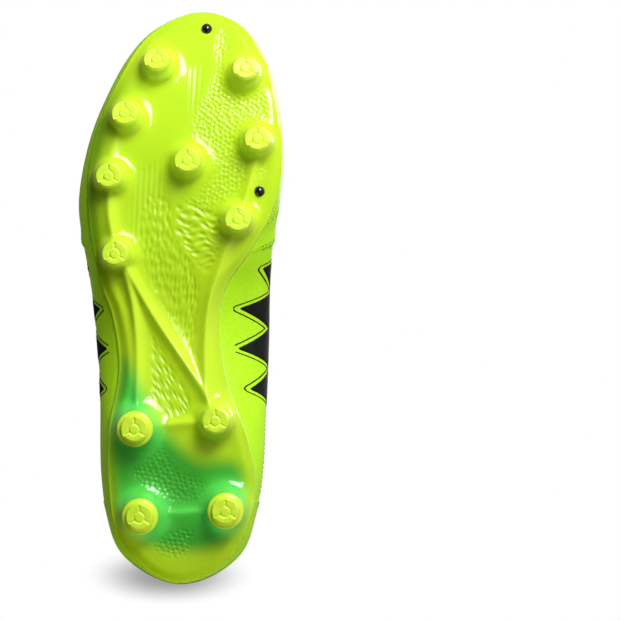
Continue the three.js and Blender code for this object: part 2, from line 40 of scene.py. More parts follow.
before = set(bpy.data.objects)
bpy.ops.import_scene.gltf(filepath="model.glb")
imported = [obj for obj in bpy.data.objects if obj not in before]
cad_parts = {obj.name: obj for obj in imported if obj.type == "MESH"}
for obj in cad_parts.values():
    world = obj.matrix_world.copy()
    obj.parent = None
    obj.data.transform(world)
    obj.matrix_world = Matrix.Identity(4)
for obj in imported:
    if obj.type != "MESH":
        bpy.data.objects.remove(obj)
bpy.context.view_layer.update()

# ---- the last and the plate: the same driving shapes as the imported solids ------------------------

PLATE_OUTLINE = [
    (-141, 0), (-134, -17), (-116, -31), (-92, -35), (-66, -35), (-36, -30.3), (-10, -33.5),
    (12, -40.5), (48, -45.2), (80, -41), (108, -29.5), (130, -15), (141.5, 8), (134, 30),
    (108, 45.5), (72, 50.4), (46, 47), (24, 36), (5, 23), (-16, 19.2), (-42, 23),
    (-68, 32.5), (-92, 37.2), (-115, 32.8), (-133, 20),
]
UPPER_OUTLINE = [
    (-143.4, 0), (-139, -15.5), (-128, -30), (-112, -36.5), (-88, -40), (-50, -41), (-20, -43.5),
    (8, -46), (28, -49.5), (44, -51.6), (60, -50), (80, -45.2), (100, -37.5), (120, -27.5),
    (135, -13.5), (143.4, 8.5), (137, 29), (122, 41), (100, 48), (72, 51.6), (48, 49.6),
    (20, 45.6), (-20, 44), (-60, 42), (-88, 40.5), (-112, 36.5), (-128, 30), (-139, 16),
]
HEEL_CENTRE = (-103, 0)  # the ribs of the last fan out round these two points
TOE_CENTRE = (92, 5)
HEEL_STUD_HEIGHT = 13
BALL_STUD_HEIGHT = 11
PLATE_THICKNESS = 2.2
TOE_SPRING_FROM = 62  # the plate curls up on an arc ahead of this,
HEEL_SPRING_FROM = -115  # and behind this
GAP = 0.3
RIDGE = [(-150, 98), (-60, 98), (-30, 88), (0, 70), (30, 55), (60, 43.5), (92, 35), (120, 27), (145, 20)]
ROUNDNESS = 2.3

# Name, tip in plan and kind: "ball" is a slim stud, "disc" a wide heel stud with a collar,
# "heel" the slim one beside them
STUDS = [
    ("toe_lateral_stud", 115.5, -11, "ball"), ("front_lateral_stud", 88.5, -26, "ball"),
    ("ball_lateral_stud", 58, -33.5, "ball"), ("rear_lateral_stud", 20.5, -30.5, "ball"),
    ("toe_medial_stud", 111, 32.5, "ball"), ("ball_medial_stud", 76, 38.5, "ball"),
    ("rear_medial_stud", 37, 29, "ball"), ("centre_stud", 65.5, 4.5, "ball"),
    ("heel_front_lateral_stud", -64.5, -21, "disc"), ("heel_front_medial_stud", -60.5, 18.2, "heel"),
    ("heel_rear_lateral_stud", -107, -18.5, "disc"), ("heel_rear_medial_stud", -104.3, 23, "disc"),
]
TACKS = [("toe_tack", 132.5, 12.8), ("ball_tack", 51.3, 39.2)]

# Moulded ribs: points in plan, height at each end, half width at each end
RIBS = [
    ([(58, -34), (40, -34), (22, -30.5)], 3.4, 3.4, 4.2, 4.2),
    ([(20, -29), (-2, -23.2), (-26, -20.7), (-50, -20.8), (-64, -21)], 4.0, 3.4, 4.0, 4.4),
    ([(18, -28), (-7, -14.4), (-29, 0.3), (-47, 12.2), (-60, 17)], 4.2, 4.2, 4.0, 4.2),
    ([(36, 28), (17, 20.9), (-2, 14.6), (-24, 12.1), (-46, 13.4), (-60, 17)], 3.0, 4.4, 4.4, 5.0),
    ([(76, 38.5), (57, 35), (40, 30)], 2.6, 2.6, 2.6, 3.0),
    ([(88, -27), (74, -32), (58, -34)], 1.2, 1.6, 5.0, 5.0),
    ([(-64, -19), (-62.5, -2), (-61, 16)], 1.9, 2.4, 4.4, 4.4),
    ([(-107, -17), (-106, 2.8), (-105, 21)], 2.1, 2.1, 4.6, 4.6),
]
# Zones of moulded texture, as smooth closed outlines in plan
PIT_ZONE = [
    (136, 20), (125, 15), (113, 16), (100, 11), (88, 4.5), (76, 6), (64, 16), (54, 9), (47, 0), (40, 6),
    (42, 20), (50, 31), (58, 43), (72, 46.5), (90, 46), (103, 42), (101, 27), (112, 24), (128, 27),
]
WAVE_ZONE = [(46, 0), (36, -4), (26, 0), (14, 9), (11, 16), (24, 22), (34, 23), (44, 18)]
GRAIN_ZONE = [
    (50, -16), (30, -21), (13, -18), (-8, -8), (-26, 4), (-40, 12), (-20, 9.5), (0, 10.5), (14, 8),
    (32, -2), (46, -3),
]
SHANK_GRAIN_ZONE = [(-14, -14), (-32, -15.5), (-50, -15), (-60, -9), (-59, 3), (-50, 6), (-36, -2), (-24, -9)]
FLUTE_ZONE = [
    (62, -24), (40, -26), (18, -24), (24, -8), (44, -2), (62, -6), (80, 2), (112, 3), (112, 14), (80, 6),
    (68, -12),
]
HEEL_ZONE = [
    (-67, -13), (-74, -5), (-84, 0), (-90, 13), (-101, 14), (-102, -2), (-98, -14), (-87, -25), (-80, -19),
    (-73, -15),
]
REAR_ZONE = [(-124, -14), (-114, -6), (-113, 7), (-126, 6), (-130, -3)]
GEL_OUTLINE = [
    (-30, -27), (-46, -17), (-62, -8), (-73, 1), (-80, 10), (-80, 26), (-88, 33), (-105, 33.5), (-118, 27),
    (-125, 12), (-125, -8), (-118, -22), (-105, -31), (-86, -34), (-62, -34), (-44, -31.5),
]


def through(pairs, x):
    """A smooth function through (x, value) pairs: cubics between them, with slopes from the neighbours."""
    xs, vs = np.array(pairs, float).T
    slopes = np.empty(len(xs))
    slopes[1:-1] = (vs[2:] - vs[:-2]) / (xs[2:] - xs[:-2])
    slopes[0] = (vs[1] - vs[0]) / (xs[1] - xs[0])
    slopes[-1] = (vs[-1] - vs[-2]) / (xs[-1] - xs[-2])
    x = np.asarray(x, float)
    i = np.clip(np.searchsorted(xs, x) - 1, 0, len(xs) - 2)
    w = xs[i + 1] - xs[i]
    t = np.clip((x - xs[i]) / w, 0, 1)
    return (
        (2 * t**3 - 3 * t**2 + 1) * vs[i] + (t**3 - 2 * t**2 + t) * w * slopes[i]
        + (3 * t**2 - 2 * t**3) * vs[i + 1] + (t**3 - t**2) * w * slopes[i + 1]
    )


def step(low, high, x):
    """0 on low's side, 1 on high's side and a smooth S between them."""
    t = np.clip((np.asarray(x, float) - low) / (high - low), 0, 1)
    return t * t * (3 - 2 * t)


def lerp(a, b, t):
    """Share t of the way from a to b."""
    return a + (b - a) * t


def bell(x, width):
    """1 at x = 0, falling to both sides as exp(-(x / width)^2)."""
    return np.exp(-((x / width) ** 2))


def spline(points, count, closed=False):
    """A uniform Catmull-Rom curve through the points, as count points equally spaced in its own parameter."""
    p = np.array(points, float)
    n = len(p)
    spans = n if closed else n - 1
    t = np.linspace(0, spans, count, endpoint=not closed)
    i = np.minimum(t.astype(int), spans - 1)
    f = (t - i)[:, None]
    if closed:
        a, b, c, d = p[(i - 1) % n], p[i % n], p[(i + 1) % n], p[(i + 2) % n]
    else:
        q = np.vstack([2 * p[0] - p[1], p, 2 * p[-1] - p[-2]])
        a, b, c, d = q[i], q[i + 1], q[i + 2], q[i + 3]
    return 0.5 * (2 * b + (c - a) * f + (2 * a - 5 * b + 4 * c - d) * f**2 + (3 * b - a - 3 * c + d) * f**3)


PLATE_LINE = spline(PLATE_OUTLINE, 900, closed=True)
UPPER_LINE = spline(UPPER_OUTLINE, 900, closed=True)


def ray_to_outline(line, sx, sy, dx, dy):
    """Distance of the farthest crossing of the outline on each ray from (sx, sy) along (dx, dy)."""
    a, b = line, np.roll(line, -1, axis=0)
    ex, ey = (b - a).T
    sx, sy, dx, dy = (np.asarray(v, float)[:, None] for v in (sx, sy, dx, dy))
    cross = dx * ey - dy * ex
    cross = np.where(np.abs(cross) < 1e-9, np.nan, cross)
    along = ((a[:, 0] - sx) * ey - (a[:, 1] - sy) * ex) / cross
    share = ((a[:, 0] - sx) * dy - (a[:, 1] - sy) * dx) / cross
    hit = (along > 0) & (share >= 0) & (share <= 1)
    return np.nanmax(np.where(hit, along, 0), axis=1)


def plate_bottom(x):
    """Height of the plate's underside: the studs' height, a rise under the arch, arcs up at toe and heel."""
    return (
        lerp(HEEL_STUD_HEIGHT, BALL_STUD_HEIGHT, step(-60, 30, x))
        + 5 * bell(x + 15, 32)
        + np.maximum(0, x - TOE_SPRING_FROM) ** 2 / 440 + np.maximum(0, HEEL_SPRING_FROM - x) ** 2 / 300
    )


def feather(x):
    """Level that the upper stands on."""
    return plate_bottom(x) + PLATE_THICKNESS + GAP


def spine_y(x):
    """Where the spine lies across the shoe, at x: it runs from the heel's centre to the toe's."""
    return lerp(HEEL_CENTRE[1], TOE_CENTRE[1], step(-70, 70, x))


def ribs_round(side_count, toe_count, heel_count):
    """Ribs of the last in ring order: outer side heel to toe, round the toe, inner side back, round the heel.

    Each is a start on the spine, a direction in plan, and the distances of the plate's edge and the upper's
    widest line.
    """
    xs = np.linspace(HEEL_CENTRE[0], TOE_CENTRE[0], side_count + 1)
    toe = np.radians(-90 + 180 * np.arange(1, toe_count) / toe_count)
    heel = np.radians(90 + 180 * np.arange(1, heel_count) / heel_count)
    sx = np.concatenate([xs, np.full(len(toe), TOE_CENTRE[0]), xs[::-1], np.full(len(heel), HEEL_CENTRE[0])])
    angle = np.concatenate([np.full(len(xs), -np.pi / 2), toe, np.full(len(xs), np.pi / 2), heel])
    sy = spine_y(sx)
    dx, dy = np.cos(angle), np.sin(angle)
    reaches = [ray_to_outline(line, sx, sy, dx, dy) for line in (PLATE_LINE, UPPER_LINE)]
    return np.stack([sx, sy, dx, dy, *reaches])


# ---- meshes --------------------------------------------------------------------------------------


def grid_faces(rows, columns, wrap_rows=False, wrap_columns=False):
    """Quads between neighbouring points of a rows by columns grid."""
    r = np.arange(rows if wrap_rows else rows - 1)
    c = np.arange(columns if wrap_columns else columns - 1)
    r, c = np.meshgrid(r, c, indexing="ij")
    r2, c2 = (r + 1) % rows, (c + 1) % columns
    corners = [(r, c), (r2, c), (r2, c2), (r, c2)]
    return np.stack([row * columns + column for row, column in corners], -1).reshape(-1, 4)


def merged(points, reach):
    """Index of the first of each set of points that lie within reach, and the set that each point is in."""
    keys = np.round(points / reach).astype(np.int64)
    _, first, back = np.unique(keys, axis=0, return_index=True, return_inverse=True)
    return first, back.reshape(-1)


def weld(points, faces, reach=1e-4):
    """Merges points closer than reach, drops faces that vanish and splits off quads with a doubled corner.

    Returns the points, quads and triangles, and where each point came first.
    """
    first, back = merged(points, reach)
    faces = back[faces]
    kept = []
    same = faces == np.roll(faces, -1, axis=1)
    quads = faces[~same.any(axis=1)]
    for corner in range(4):
        only = same[:, corner] & (same.sum(axis=1) == 1)
        kept.append(np.delete(faces[only], corner, axis=1))
    return points[first], quads, np.vstack(kept), first


def volume(points, quads, triangles):
    """Enclosed volume by the divergence theorem: negative if the faces point inward."""
    three = np.vstack([triangles, quads[:, [0, 1, 2]], quads[:, [0, 2, 3]]])
    a, b, c = points[three[:, 0]], points[three[:, 1]], points[three[:, 2]]
    return np.einsum("ij,ij->", a, np.cross(b, c)) / 6


def put_mesh(name, points, faces, material, body, slot, replaces=(), values=None, uv=None, flat_angle=None):
    """A mesh object at the origin from points in millimetres and quads, riding on a body.

    values are named numbers per point. uv is a pair of numbers per point. Points that coincide are merged.
    """
    points = np.asarray(points, float).reshape(-1, 3)
    points, quads, triangles, first = weld(points, np.asarray(faces))
    if volume(points, quads, triangles) < 0:
        quads, triangles = quads[:, ::-1], triangles[:, ::-1]
    mesh = bpy.data.meshes.new(name)
    mesh.vertices.add(len(points))
    mesh.vertices.foreach_set("co", (points / 1000).astype(np.float32).ravel())
    loops = np.concatenate([quads.ravel(), triangles.ravel()]).astype(np.int32)
    sizes = np.concatenate([np.full(len(quads), 4), np.full(len(triangles), 3)])
    mesh.loops.add(len(loops))
    mesh.loops.foreach_set("vertex_index", loops)
    mesh.polygons.add(len(sizes))
    mesh.polygons.foreach_set("loop_start", (np.cumsum(sizes) - sizes).astype(np.int32))
    for key, value in (values or {}).items():
        layer = mesh.attributes.new(key, "FLOAT", "POINT")
        layer.data.foreach_set("value", np.asarray(value, float).ravel()[first].astype(np.float32))
    if uv is not None:
        layer = mesh.uv_layers.new(name="UVMap")
        corners = np.asarray(uv, float).reshape(-1, 2)[first][loops]
        layer.data.foreach_set("uv", corners.astype(np.float32).ravel())
    mesh.update(calc_edges=True)
    mesh.validate()
    mesh.shade_smooth()
    if flat_angle:
        mesh.set_sharp_from_angle(angle=math.radians(flat_angle))
    mesh.materials.append(material)
    piece = bpy.data.objects.new(name, mesh)
    bpy.context.scene.collection.objects.link(piece)
    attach(piece, body)
    if replaces:
        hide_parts(*replaces)
    return piece


def signed_distance(line, x, y):
    """Signed distance to a closed line of straight edges in plan, positive inside."""
    best = np.full(np.shape(x), 1e9)
    odd = np.zeros(np.shape(x), bool)
    for (ax, ay), (bx, by) in zip(line, np.roll(line, -1, axis=0)):
        ex, ey = bx - ax, by - ay
        t = np.clip(((x - ax) * ex + (y - ay) * ey) / max(ex * ex + ey * ey, 1e-12), 0, 1)
        best = np.minimum(best, np.hypot(x - ax - ex * t, y - ay - ey * t))
        crosses = (ay > y) != (by > y)
        odd ^= crosses & (x < ax + ex * (y - ay) / (ey if ey else 1e-9))
    return np.where(odd, best, -best)


def inside(outline, x, y):
    """Signed distance to the smooth closed curve through the outline's points."""
    return signed_distance(spline(outline, len(outline) * 8, closed=True), x, y)


def path_distance(points, x, y):
    """Distance in plan to a smooth path, and the share of the path at its nearest point."""
    line = spline(points, len(points) * 6)
    length = np.concatenate([[0], np.cumsum(np.hypot(*np.diff(line, axis=0).T))])
    best = np.full(np.shape(x), 1e9)
    share = np.zeros(np.shape(x))
    for k in range(len(line) - 1):
        (ax, ay), (bx, by) = line[k], line[k + 1]
        ex, ey = bx - ax, by - ay
        t = np.clip(((x - ax) * ex + (y - ay) * ey) / (ex * ex + ey * ey), 0, 1)
        d = np.hypot(x - ax - ex * t, y - ay - ey * t)
        nearer = d < best
        best = np.where(nearer, d, best)
        share = np.where(nearer, lerp(length[k], length[k + 1], t) / length[-1], share)
    return best, share


def cells(u, v, jitter, seed):
    """Distance to the nearest site of a staggered unit lattice whose sites are moved by up to jitter / 2."""
    best = np.full(np.shape(u), 9.0)
    row = np.floor(v)
    for dr in (-1, 0, 1):
        for dc in (-1, 0, 1):
            r = row + dr
            c = np.floor(u - 0.5 * (r % 2)) + dc
            hashed = np.sin(r * 127.1 + c * 311.7 + seed) * 43758.5453
            across = hashed - np.floor(hashed)
            hashed = np.sin(r * 269.5 + c * 183.3 + seed) * 24634.6345
            along = hashed - np.floor(hashed)
            pu = c + 0.5 * (r % 2) + 0.5 + jitter * (across - 0.5)
            pv = r + 0.5 + jitter * (along - 0.5)
            best = np.minimum(best, np.hypot(u - pu, v - pv))
    return best


# ---- the sole's relief ---------------------------------------------------------------------------

STUD_KINDS = {
    # Radius where the root begins, its height over the plate there, the length that it fades over,
    # the most of it that the plate holds, and the radius of the stud's face
    "ball": (6.15, 11.0, 1.75, 4.6, 5.55),
    "heel": (6.3, 13.0, 2.3, 5.4, 5.7),
    "disc": (8.4, 8.6, 3.0, 8.6, 5.9),
}


def stud_height(kind):
    return BALL_STUD_HEIGHT if kind == "ball" else HEEL_STUD_HEIGHT


def stud_axis(x, y, kind):
    """Unit vector from a stud's root to its tip: square to the plate, and splayed a little at the border."""
    tilt = max(0.0, x - TOE_SPRING_FROM) / 220
    splay = 0.0 if kind != "ball" or abs(y) < 10 else 0.05 * np.sign(y)
    axis = np.array([tilt, splay, -1.0])
    return axis / np.linalg.norm(axis)


def root_centre(x, y, kind):
    """Middle of a stud's root in plan: four fifths of the way up its axis from the tip."""
    return np.array([x, y]) - stud_axis(x, y, kind)[:2] * stud_height(kind) * 0.8


def root_height(kind, r):
    """Height of a stud's root over the plate at a distance from its axis: it fades like an exponential."""
    start, height, fade = STUD_KINDS[kind][:3]
    return height * np.exp(-np.maximum(r - start, 0) / fade)


def moulded_relief(x, y):
    """How far the moulded shapes stand out below the plate: stud roots and ribs, blended by a power mean."""
    total = np.zeros(np.shape(x))
    power = 2.6
    for _, sx, sy, kind in STUDS:
        cx, cy = root_centre(sx, sy, kind)
        height = np.minimum(root_height(kind, np.hypot(x - cx, y - cy)), STUD_KINDS[kind][3])
        total += height**power
    for points, h0, h1, w0, w1 in RIBS:
        d, share = path_distance(points, x, y)
        width = lerp(w0, w1, share)
        crest = np.exp(-(np.sqrt(d**2 + 2.2) - 1.48) / (0.58 * width))
        total += (lerp(h0, h1, share) * np.minimum(crest, 1)) ** power
    return total ** (1 / power)


def texture(x, y):
    """Depth of the moulded texture, and the share of a point that lies in any textured zone."""
    turn = 0.55 + 0.1 * step(40, 110, x)
    u = (x * np.cos(turn) + y * np.sin(turn)) / 2.0
    v = (-x * np.sin(turn) + y * np.cos(turn) + 0.5 * np.sin(x / 3.1)) / 2.5
    swing = np.arctan2(x - 20, 64 - y) * 42
    ripple = swing / 2.1 + 0.35 * np.sin(y / 1.9 + x / 6)
    drift = y - 0.22 * (x - 20) * step(40, -40, x)
    flutes = (0.14 - 0.08 * step(50, 85, x)) * (1 + np.cos(2 * np.pi * (y - 0.05 * x) / 2.6))
    scales = 0.5 * bell(cells((y - 0.3 * x) / 2.9, (x + 0.2 * y) / 2.1, 0.45, 5), 0.3)
    zones = [
        # outline, depth of its pattern, width of its fading edge
        (PIT_ZONE, 0.48 * bell(cells(v, u, 0.5, 1), 0.36), 6),
        (WAVE_ZONE, 0.75 * bell(cells(y / 6.0, ripple, 0.6, 2), 0.4), 3),
        (GRAIN_ZONE, 0.6 * bell(cells(drift / 1.9, x / 5.6, 0.8, 3), 0.36), 3),
        (SHANK_GRAIN_ZONE, 0.6 * bell(cells((y + 0.55 * x) / 2.0, x / 6.5, 0.8, 4), 0.36), 3),
        (FLUTE_ZONE, flutes, 6),
        (HEEL_ZONE, scales, 4),
        (REAR_ZONE, scales, 4),
    ]
    depth = np.zeros(np.shape(x))
    cover = np.zeros(np.shape(x))
    for outline, pattern, edge in zones:
        mask = step(-0.4, edge, inside(outline, x, y))
        depth += mask * pattern
        cover = np.maximum(cover, mask)
    return depth, cover


def sole(x, y, edge):
    """Underside of the plate: its level less the relief, sunk in textured zones and curled up at its edge.

    Returns the height, and by name the numbers that the colour follows: relief, which sets painted shade and
    painted light, texture cover, the gel showing through, and the thin outer border, which gets painted
    shade.
    """
    relief = moulded_relief(x, y)
    depth, cover = texture(x, y)
    calm = 1 / (1 + (relief / 1.6) ** 2)
    curl = 1.5 * (1 - step(0, 6.5, edge)) ** 1.6
    flange = 0.9 * bell(edge - 5.5, 2.6) * step(25, -5, x) * step(-75, -45, x)
    z = plate_bottom(x) - relief - flange + (depth + 0.12 * cover) * calm + curl
    gel = step(-4.5, 6.5, inside(GEL_OUTLINE, x, y))
    # thin marks the forefoot's outer lateral border, where the plate curls up and thins; the colour darkens
    # it there as painted shade
    thin = (1 - step(1.5, 13, edge)) * step(-12, -26, y) * step(118, 84, x) * step(-6, 28, x) * calm
    return z, {"relief": relief, "cover": cover * calm, "gel": gel, "thin": thin}


# ---- the upper's skin ----------------------------------------------------------------------------

# The last's ribs and their ring coordinates: 0 to 1 along the outer side, 1 to 2 round the toe,
# 2 to 3 back along the inner side and 3 to 4 round the heel
SIDE_RIBS, END_RIBS = 200, 90
RING = ribs_round(SIDE_RIBS, END_RIBS, END_RIBS)
ROUND_END = np.arange(1, END_RIBS) / END_RIBS
RING_AT = np.concatenate([
    np.linspace(0, 1, SIDE_RIBS + 1), 1 + ROUND_END, np.linspace(2, 3, SIDE_RIBS + 1), 3 + ROUND_END,
])


def skin(u, w, depth=0.0):
    """A point of the last at ring coordinate u, share w of the way from plate to ridge, and depth below it.

    A rib is a superellipse quarter: its reach swells from the plate's edge to the widest line, and its height
    ends on the ridge. Both shrink by the depth.
    """
    u = np.mod(u, 4)
    at, ring = np.append(RING_AT, 4), np.hstack([RING, RING[:, :1]])
    sx, sy, dx, dy, plate, upper = (np.interp(u, at, row) for row in ring)
    long = np.hypot(dx, dy)
    dx, dy = dx / long, dy / long
    phi = np.clip(w, 0, 1) * np.pi / 2
    across = np.maximum(np.cos(phi), 0) ** (2 / ROUNDNESS)
    up = np.sin(phi) ** (2 / ROUNDNESS)
    belly = upper - plate
    x = sx + dx * upper * across
    for _ in range(2):
        height = (through(RIDGE, x) - depth) * up
        swell = np.sin(np.clip(height / (8 + 0.6 * belly), 0, 1) * np.pi / 2)
        reach = (plate + belly * swell - depth) * across
        x = sx + dx * reach
    return np.stack([x, sy + dy * reach, feather(x) + (through(RIDGE, x) - depth) * up], -1)


def normal(u, w):
    """Outward normal of the skin."""
    w = np.clip(w, 0.004, 0.985)
    ahead = skin(u + 0.002, w) - skin(u - 0.002, w)
    upward = skin(u, w + 0.003) - skin(u, w - 0.003)
    n = np.cross(ahead, upward)
    return n / np.maximum(np.linalg.norm(n, axis=-1, keepdims=True), 1e-9)


def ring_at(x, side):
    """Ring coordinate of the straight rib at x on a side, -1 outer or +1 inner."""
    t = (np.asarray(x, float) - HEEL_CENTRE[0]) / (TOE_CENTRE[0] - HEEL_CENTRE[0])
    return t if side < 0 else 3 - t


def find_side(x, z, side):
    """Ring coordinate and share of skin points given in side view, by Newton's steps on both at once."""
    x, z = np.asarray(x, float), np.asarray(z, float)
    u = ring_at(np.clip(x, -108, 96), side)
    w = np.clip((z - feather(x)) / through(RIDGE, x), 0.02, 0.9) ** 1.15
    for _ in range(14):
        p = skin(u, w)
        pu = (skin(u + 1e-3, w) - p) / 1e-3
        pw = (skin(u, w + 1e-3) - p) / 1e-3
        ex, ez = x - p[..., 0], z - p[..., 2]
        det = pu[..., 0] * pw[..., 2] - pu[..., 2] * pw[..., 0]
        det = np.where(np.abs(det) < 1e-3, 1e-3, det)
        du = (ex * pw[..., 2] - ez * pw[..., 0]) / det
        dw = (pu[..., 0] * ez - pu[..., 2] * ex) / det
        u = u + np.clip(du, -0.05, 0.05)
        w = np.clip(w + np.clip(dw, -0.1, 0.1), 0.0, 0.999)
    return u, w


def find_plan(x, side, from_spine, depth=0.0):
    """Ring coordinate and share of skin points at x, a distance from the spine in plan, by halving."""
    x, from_spine = np.broadcast_arrays(np.asarray(x, float), np.asarray(from_spine, float))
    u = ring_at(x, side)
    low, high = np.full(x.shape, 0.06), np.ones(x.shape)
    for _ in range(30):
        w = (low + high) / 2
        far = np.abs(skin(u, w, depth)[..., 1] - spine_y(x)) > from_spine
        low, high = np.where(far, w, low), np.where(far, high, w)
    return u, low


# Seams in side view
VAMP_SEAM = spline([(15, -12), (17, 6), (21, 17), (34, 36), (50, 50.5), (63, 63), (75, 90)], 40)
HEEL_SEAM = spline([(-97, -6), (-98.5, 8), (-102, 30), (-110, 55), (-117, 84), (-120, 120)], 40)
COLLAR = spline([
    (-170, 92), (-152, 90), (-138, 86), (-112, 76.5), (-84, 71), (-56, 75), (-34, 87), (-21, 100), (-14, 125),
], 60)
WING_EDGE = spline([
    (24, -6), (29, 2), (35, 11), (42, 20), (49, 29), (54.5, 39), (55.5, 47), (52.8, 53.5),
], 40)
HEEL_ROW = spline([(-58, 34), (-70, 29), (-84, 26), (-97, 25.5)], 24)
SADDLE = np.array([
    (33, 60), (-26, 84), (-57, 40), (-46, 24), (-36, 40), (-26, 24), (-16, 39), (-6, 24), (3, 39), (14, 25),
], float)
THROAT_FRONT, THROAT_BACK, THROAT_LOW, THROAT_HALF = 64, -60, 45, 8
EYESTAY_WIDTH = 13
EYELET_X = [51, 38.5, 26, 13.5, 1, -11]
EYELET_FROM_EDGE = 6
EYELET_RADIUS = 2.1

# Depths below the skin of the layers of the upper
UPPER_THICKNESS = 1.5
STIFFENER = (1.9, 3.0)
LINING = (3.4, 4.3)
LAP = 3.4  # how far a quarter reaches under its neighbour


def throat_line(margin, back=THROAT_BACK):
    """Plan outline of the throat grown by a margin: two sides and an elliptical nose."""
    x = np.arange(back, THROAT_FRONT - 8, 3.0)
    turn = np.linspace(np.pi / 2, -np.pi / 2, 25)
    radius = THROAT_HALF + margin
    nose = np.stack([THROAT_FRONT - 8 + (8 + margin) * np.cos(turn), radius * np.sin(turn)], -1)
    half = np.stack([x, np.full(len(x), THROAT_HALF + margin)], -1)
    line = np.vstack([half, nose, half[::-1] * (1, -1)])
    line[:, 1] += spine_y(line[:, 0])
    return line


def over_throat(margin, back, low=THROAT_LOW):
    """A level function: positive over the throat grown by a margin, above a height."""
    line = throat_line(margin, back)
    return lambda p: np.minimum(signed_distance(line, p[:, 0], p[:, 1]), p[:, 2] - low)


def beyond(level):
    """A level function with its sides swapped."""
    return lambda p: -level(p)


def collar_path(below, depth=0.0):
    """Points and normals of the skin at a distance below the collar's edge, all round.

    depth is how far below the skin the points are.
    """
    u = ring_steps(2.3, 4.7, 1.5)
    low, high = np.full(len(u), 0.3), np.ones(len(u))
    for _ in range(24):
        w = (low + high) / 2
        under = under_collar(skin(u, w)) > below
        low, high = np.where(under, w, low), np.where(under, high, w)
    p = skin(u, low)
    keep = (np.abs(p[:, 1] - spine_y(p[:, 0])) > THROAT_HALF + 0.6) | (p[:, 0] < HEEL_CENTRE[0])
    return skin(u, low, depth)[keep], normal(u, low)[keep]


def closed_region(line, corners):
    """A region in side view between a seam and corners far outside the shoe."""
    return np.vstack([line, np.array(corners, float)])


AHEAD_OF_VAMP = closed_region(VAMP_SEAM, [(200, 140), (200, -40)])
BEHIND_HEEL = closed_region(HEEL_SEAM[::-1], [(-97, -40), (-250, -40), (-250, 120)])
UNDER_COLLAR = closed_region(COLLAR, [(300, 125), (300, -80), (-170, -80)])


def in_side(region, p):
    """Signed distance of points to a closed region in side view, positive inside."""
    return signed_distance(region, p[:, 0], p[:, 2])


def ahead_of_vamp_seam(p):
    return in_side(AHEAD_OF_VAMP, p)


def behind_heel_seam(p):
    return in_side(BEHIND_HEEL, p)


def under_collar(p):
    return in_side(UNDER_COLLAR, p)


def in_saddle(p):
    return in_side(SADDLE, p)


outside_throat = beyond(over_throat(0, THROAT_BACK - 30))


def clip(coords, triangles, level):
    """Keeps the part of a triangle mesh where level is positive, cut along its zero line."""
    keep = level > 0
    count = keep[triangles].sum(1)
    whole = triangles[count == 3]
    cut = triangles[(count == 1) | (count == 2)]
    single = count[(count == 1) | (count == 2)] == 1
    lone = np.where(single[:, None], keep[cut], ~keep[cut]).argmax(1)
    turned = np.take_along_axis(cut, (lone[:, None] + np.arange(3)) % 3, 1)
    a, b, c = turned.T
    pairs = np.sort(np.concatenate([np.stack([a, b], -1), np.stack([a, c], -1)]), axis=1)
    edges, index = np.unique(pairs, axis=0, return_inverse=True)
    index = index.reshape(-1) + len(coords)
    la, lb = level[edges[:, 0]], level[edges[:, 1]]
    share = (la / (la - lb))[:, None]
    made = coords[edges[:, 0]] * (1 - share) + coords[edges[:, 1]] * share
    ab, ac = index[: len(a)], index[len(a):]
    parts = [
        whole,
        np.stack([a, ab, ac], -1)[single],
        np.stack([ab, b, c], -1)[~single],
        np.stack([ab, c, ac], -1)[~single],
    ]
    triangles = np.vstack(parts)
    used, triangles = np.unique(triangles, return_inverse=True)
    return np.vstack([coords, made])[used], triangles.reshape(-1, 3)


def rim_edges(triangles):
    """Edges that only one triangle has, in that triangle's direction."""
    edges = np.concatenate([triangles[:, [0, 1]], triangles[:, [1, 2]], triangles[:, [2, 0]]])
    _, index, count = np.unique(np.sort(edges, axis=1), axis=0, return_inverse=True, return_counts=True)
    return edges[count[index.reshape(-1)] == 1]


def patch(us, ws, levels):
    """Triangles of the skin on a grid of ring coordinates and shares, cut to where every level is positive.

    Returns the coordinates, the triangles and the distance of each point to the nearest cut.
    """
    u, w = np.meshgrid(us, ws, indexing="ij")
    coords = np.stack([u.ravel(), w.ravel()], -1)
    quads = grid_faces(len(us), len(ws))
    triangles = np.vstack([quads[:, [0, 1, 2]], quads[:, [0, 2, 3]]])
    for level in levels:
        coords, triangles = clip(coords, triangles, level(skin(coords[:, 0], coords[:, 1])))
    first, back = merged(skin(coords[:, 0], coords[:, 1]), 1e-3)
    coords, triangles = coords[first], back[triangles]
    same = (triangles == np.roll(triangles, -1, axis=1)).any(axis=1)
    triangles = triangles[~same]
    places = skin(coords[:, 0], coords[:, 1])
    edge = np.full(len(coords), 9.0)
    for level in levels:
        edge = np.minimum(edge, level(places))
    return coords, triangles, np.maximum(edge, 0)


def put_shell(name, cut, outer, inner, material, body, slot, replaces=(), roll=0.45):
    """A patch made solid between two depths, with its edge rounded over by roll.

    outer and inner are numbers or functions of the skin points.
    """
    coords, triangles, edge = cut
    places = skin(coords[:, 0], coords[:, 1])
    top, low = (depth(places) if callable(depth) else np.full(len(coords), float(depth))
                for depth in (outer, inner))
    top = top + roll * (1 - np.sqrt(1 - np.clip(1 - edge / max(roll * 1.6, 0.5), 0, 1) ** 2))
    points = np.concatenate([skin(coords[:, 0], coords[:, 1], depth) for depth in (top, low)])
    n = len(coords)
    rim = rim_edges(triangles)
    walls = np.stack([rim[:, 1], rim[:, 0], rim[:, 0] + n, rim[:, 1] + n], -1)
    faces = np.concatenate([triangles, triangles[:, ::-1] + n])
    faces = np.concatenate([faces, faces[:, 2:]], axis=1)
    faces = np.concatenate([faces, walls])
    return put_mesh(name, points, faces, material, body, slot, replaces, flat_angle=50)


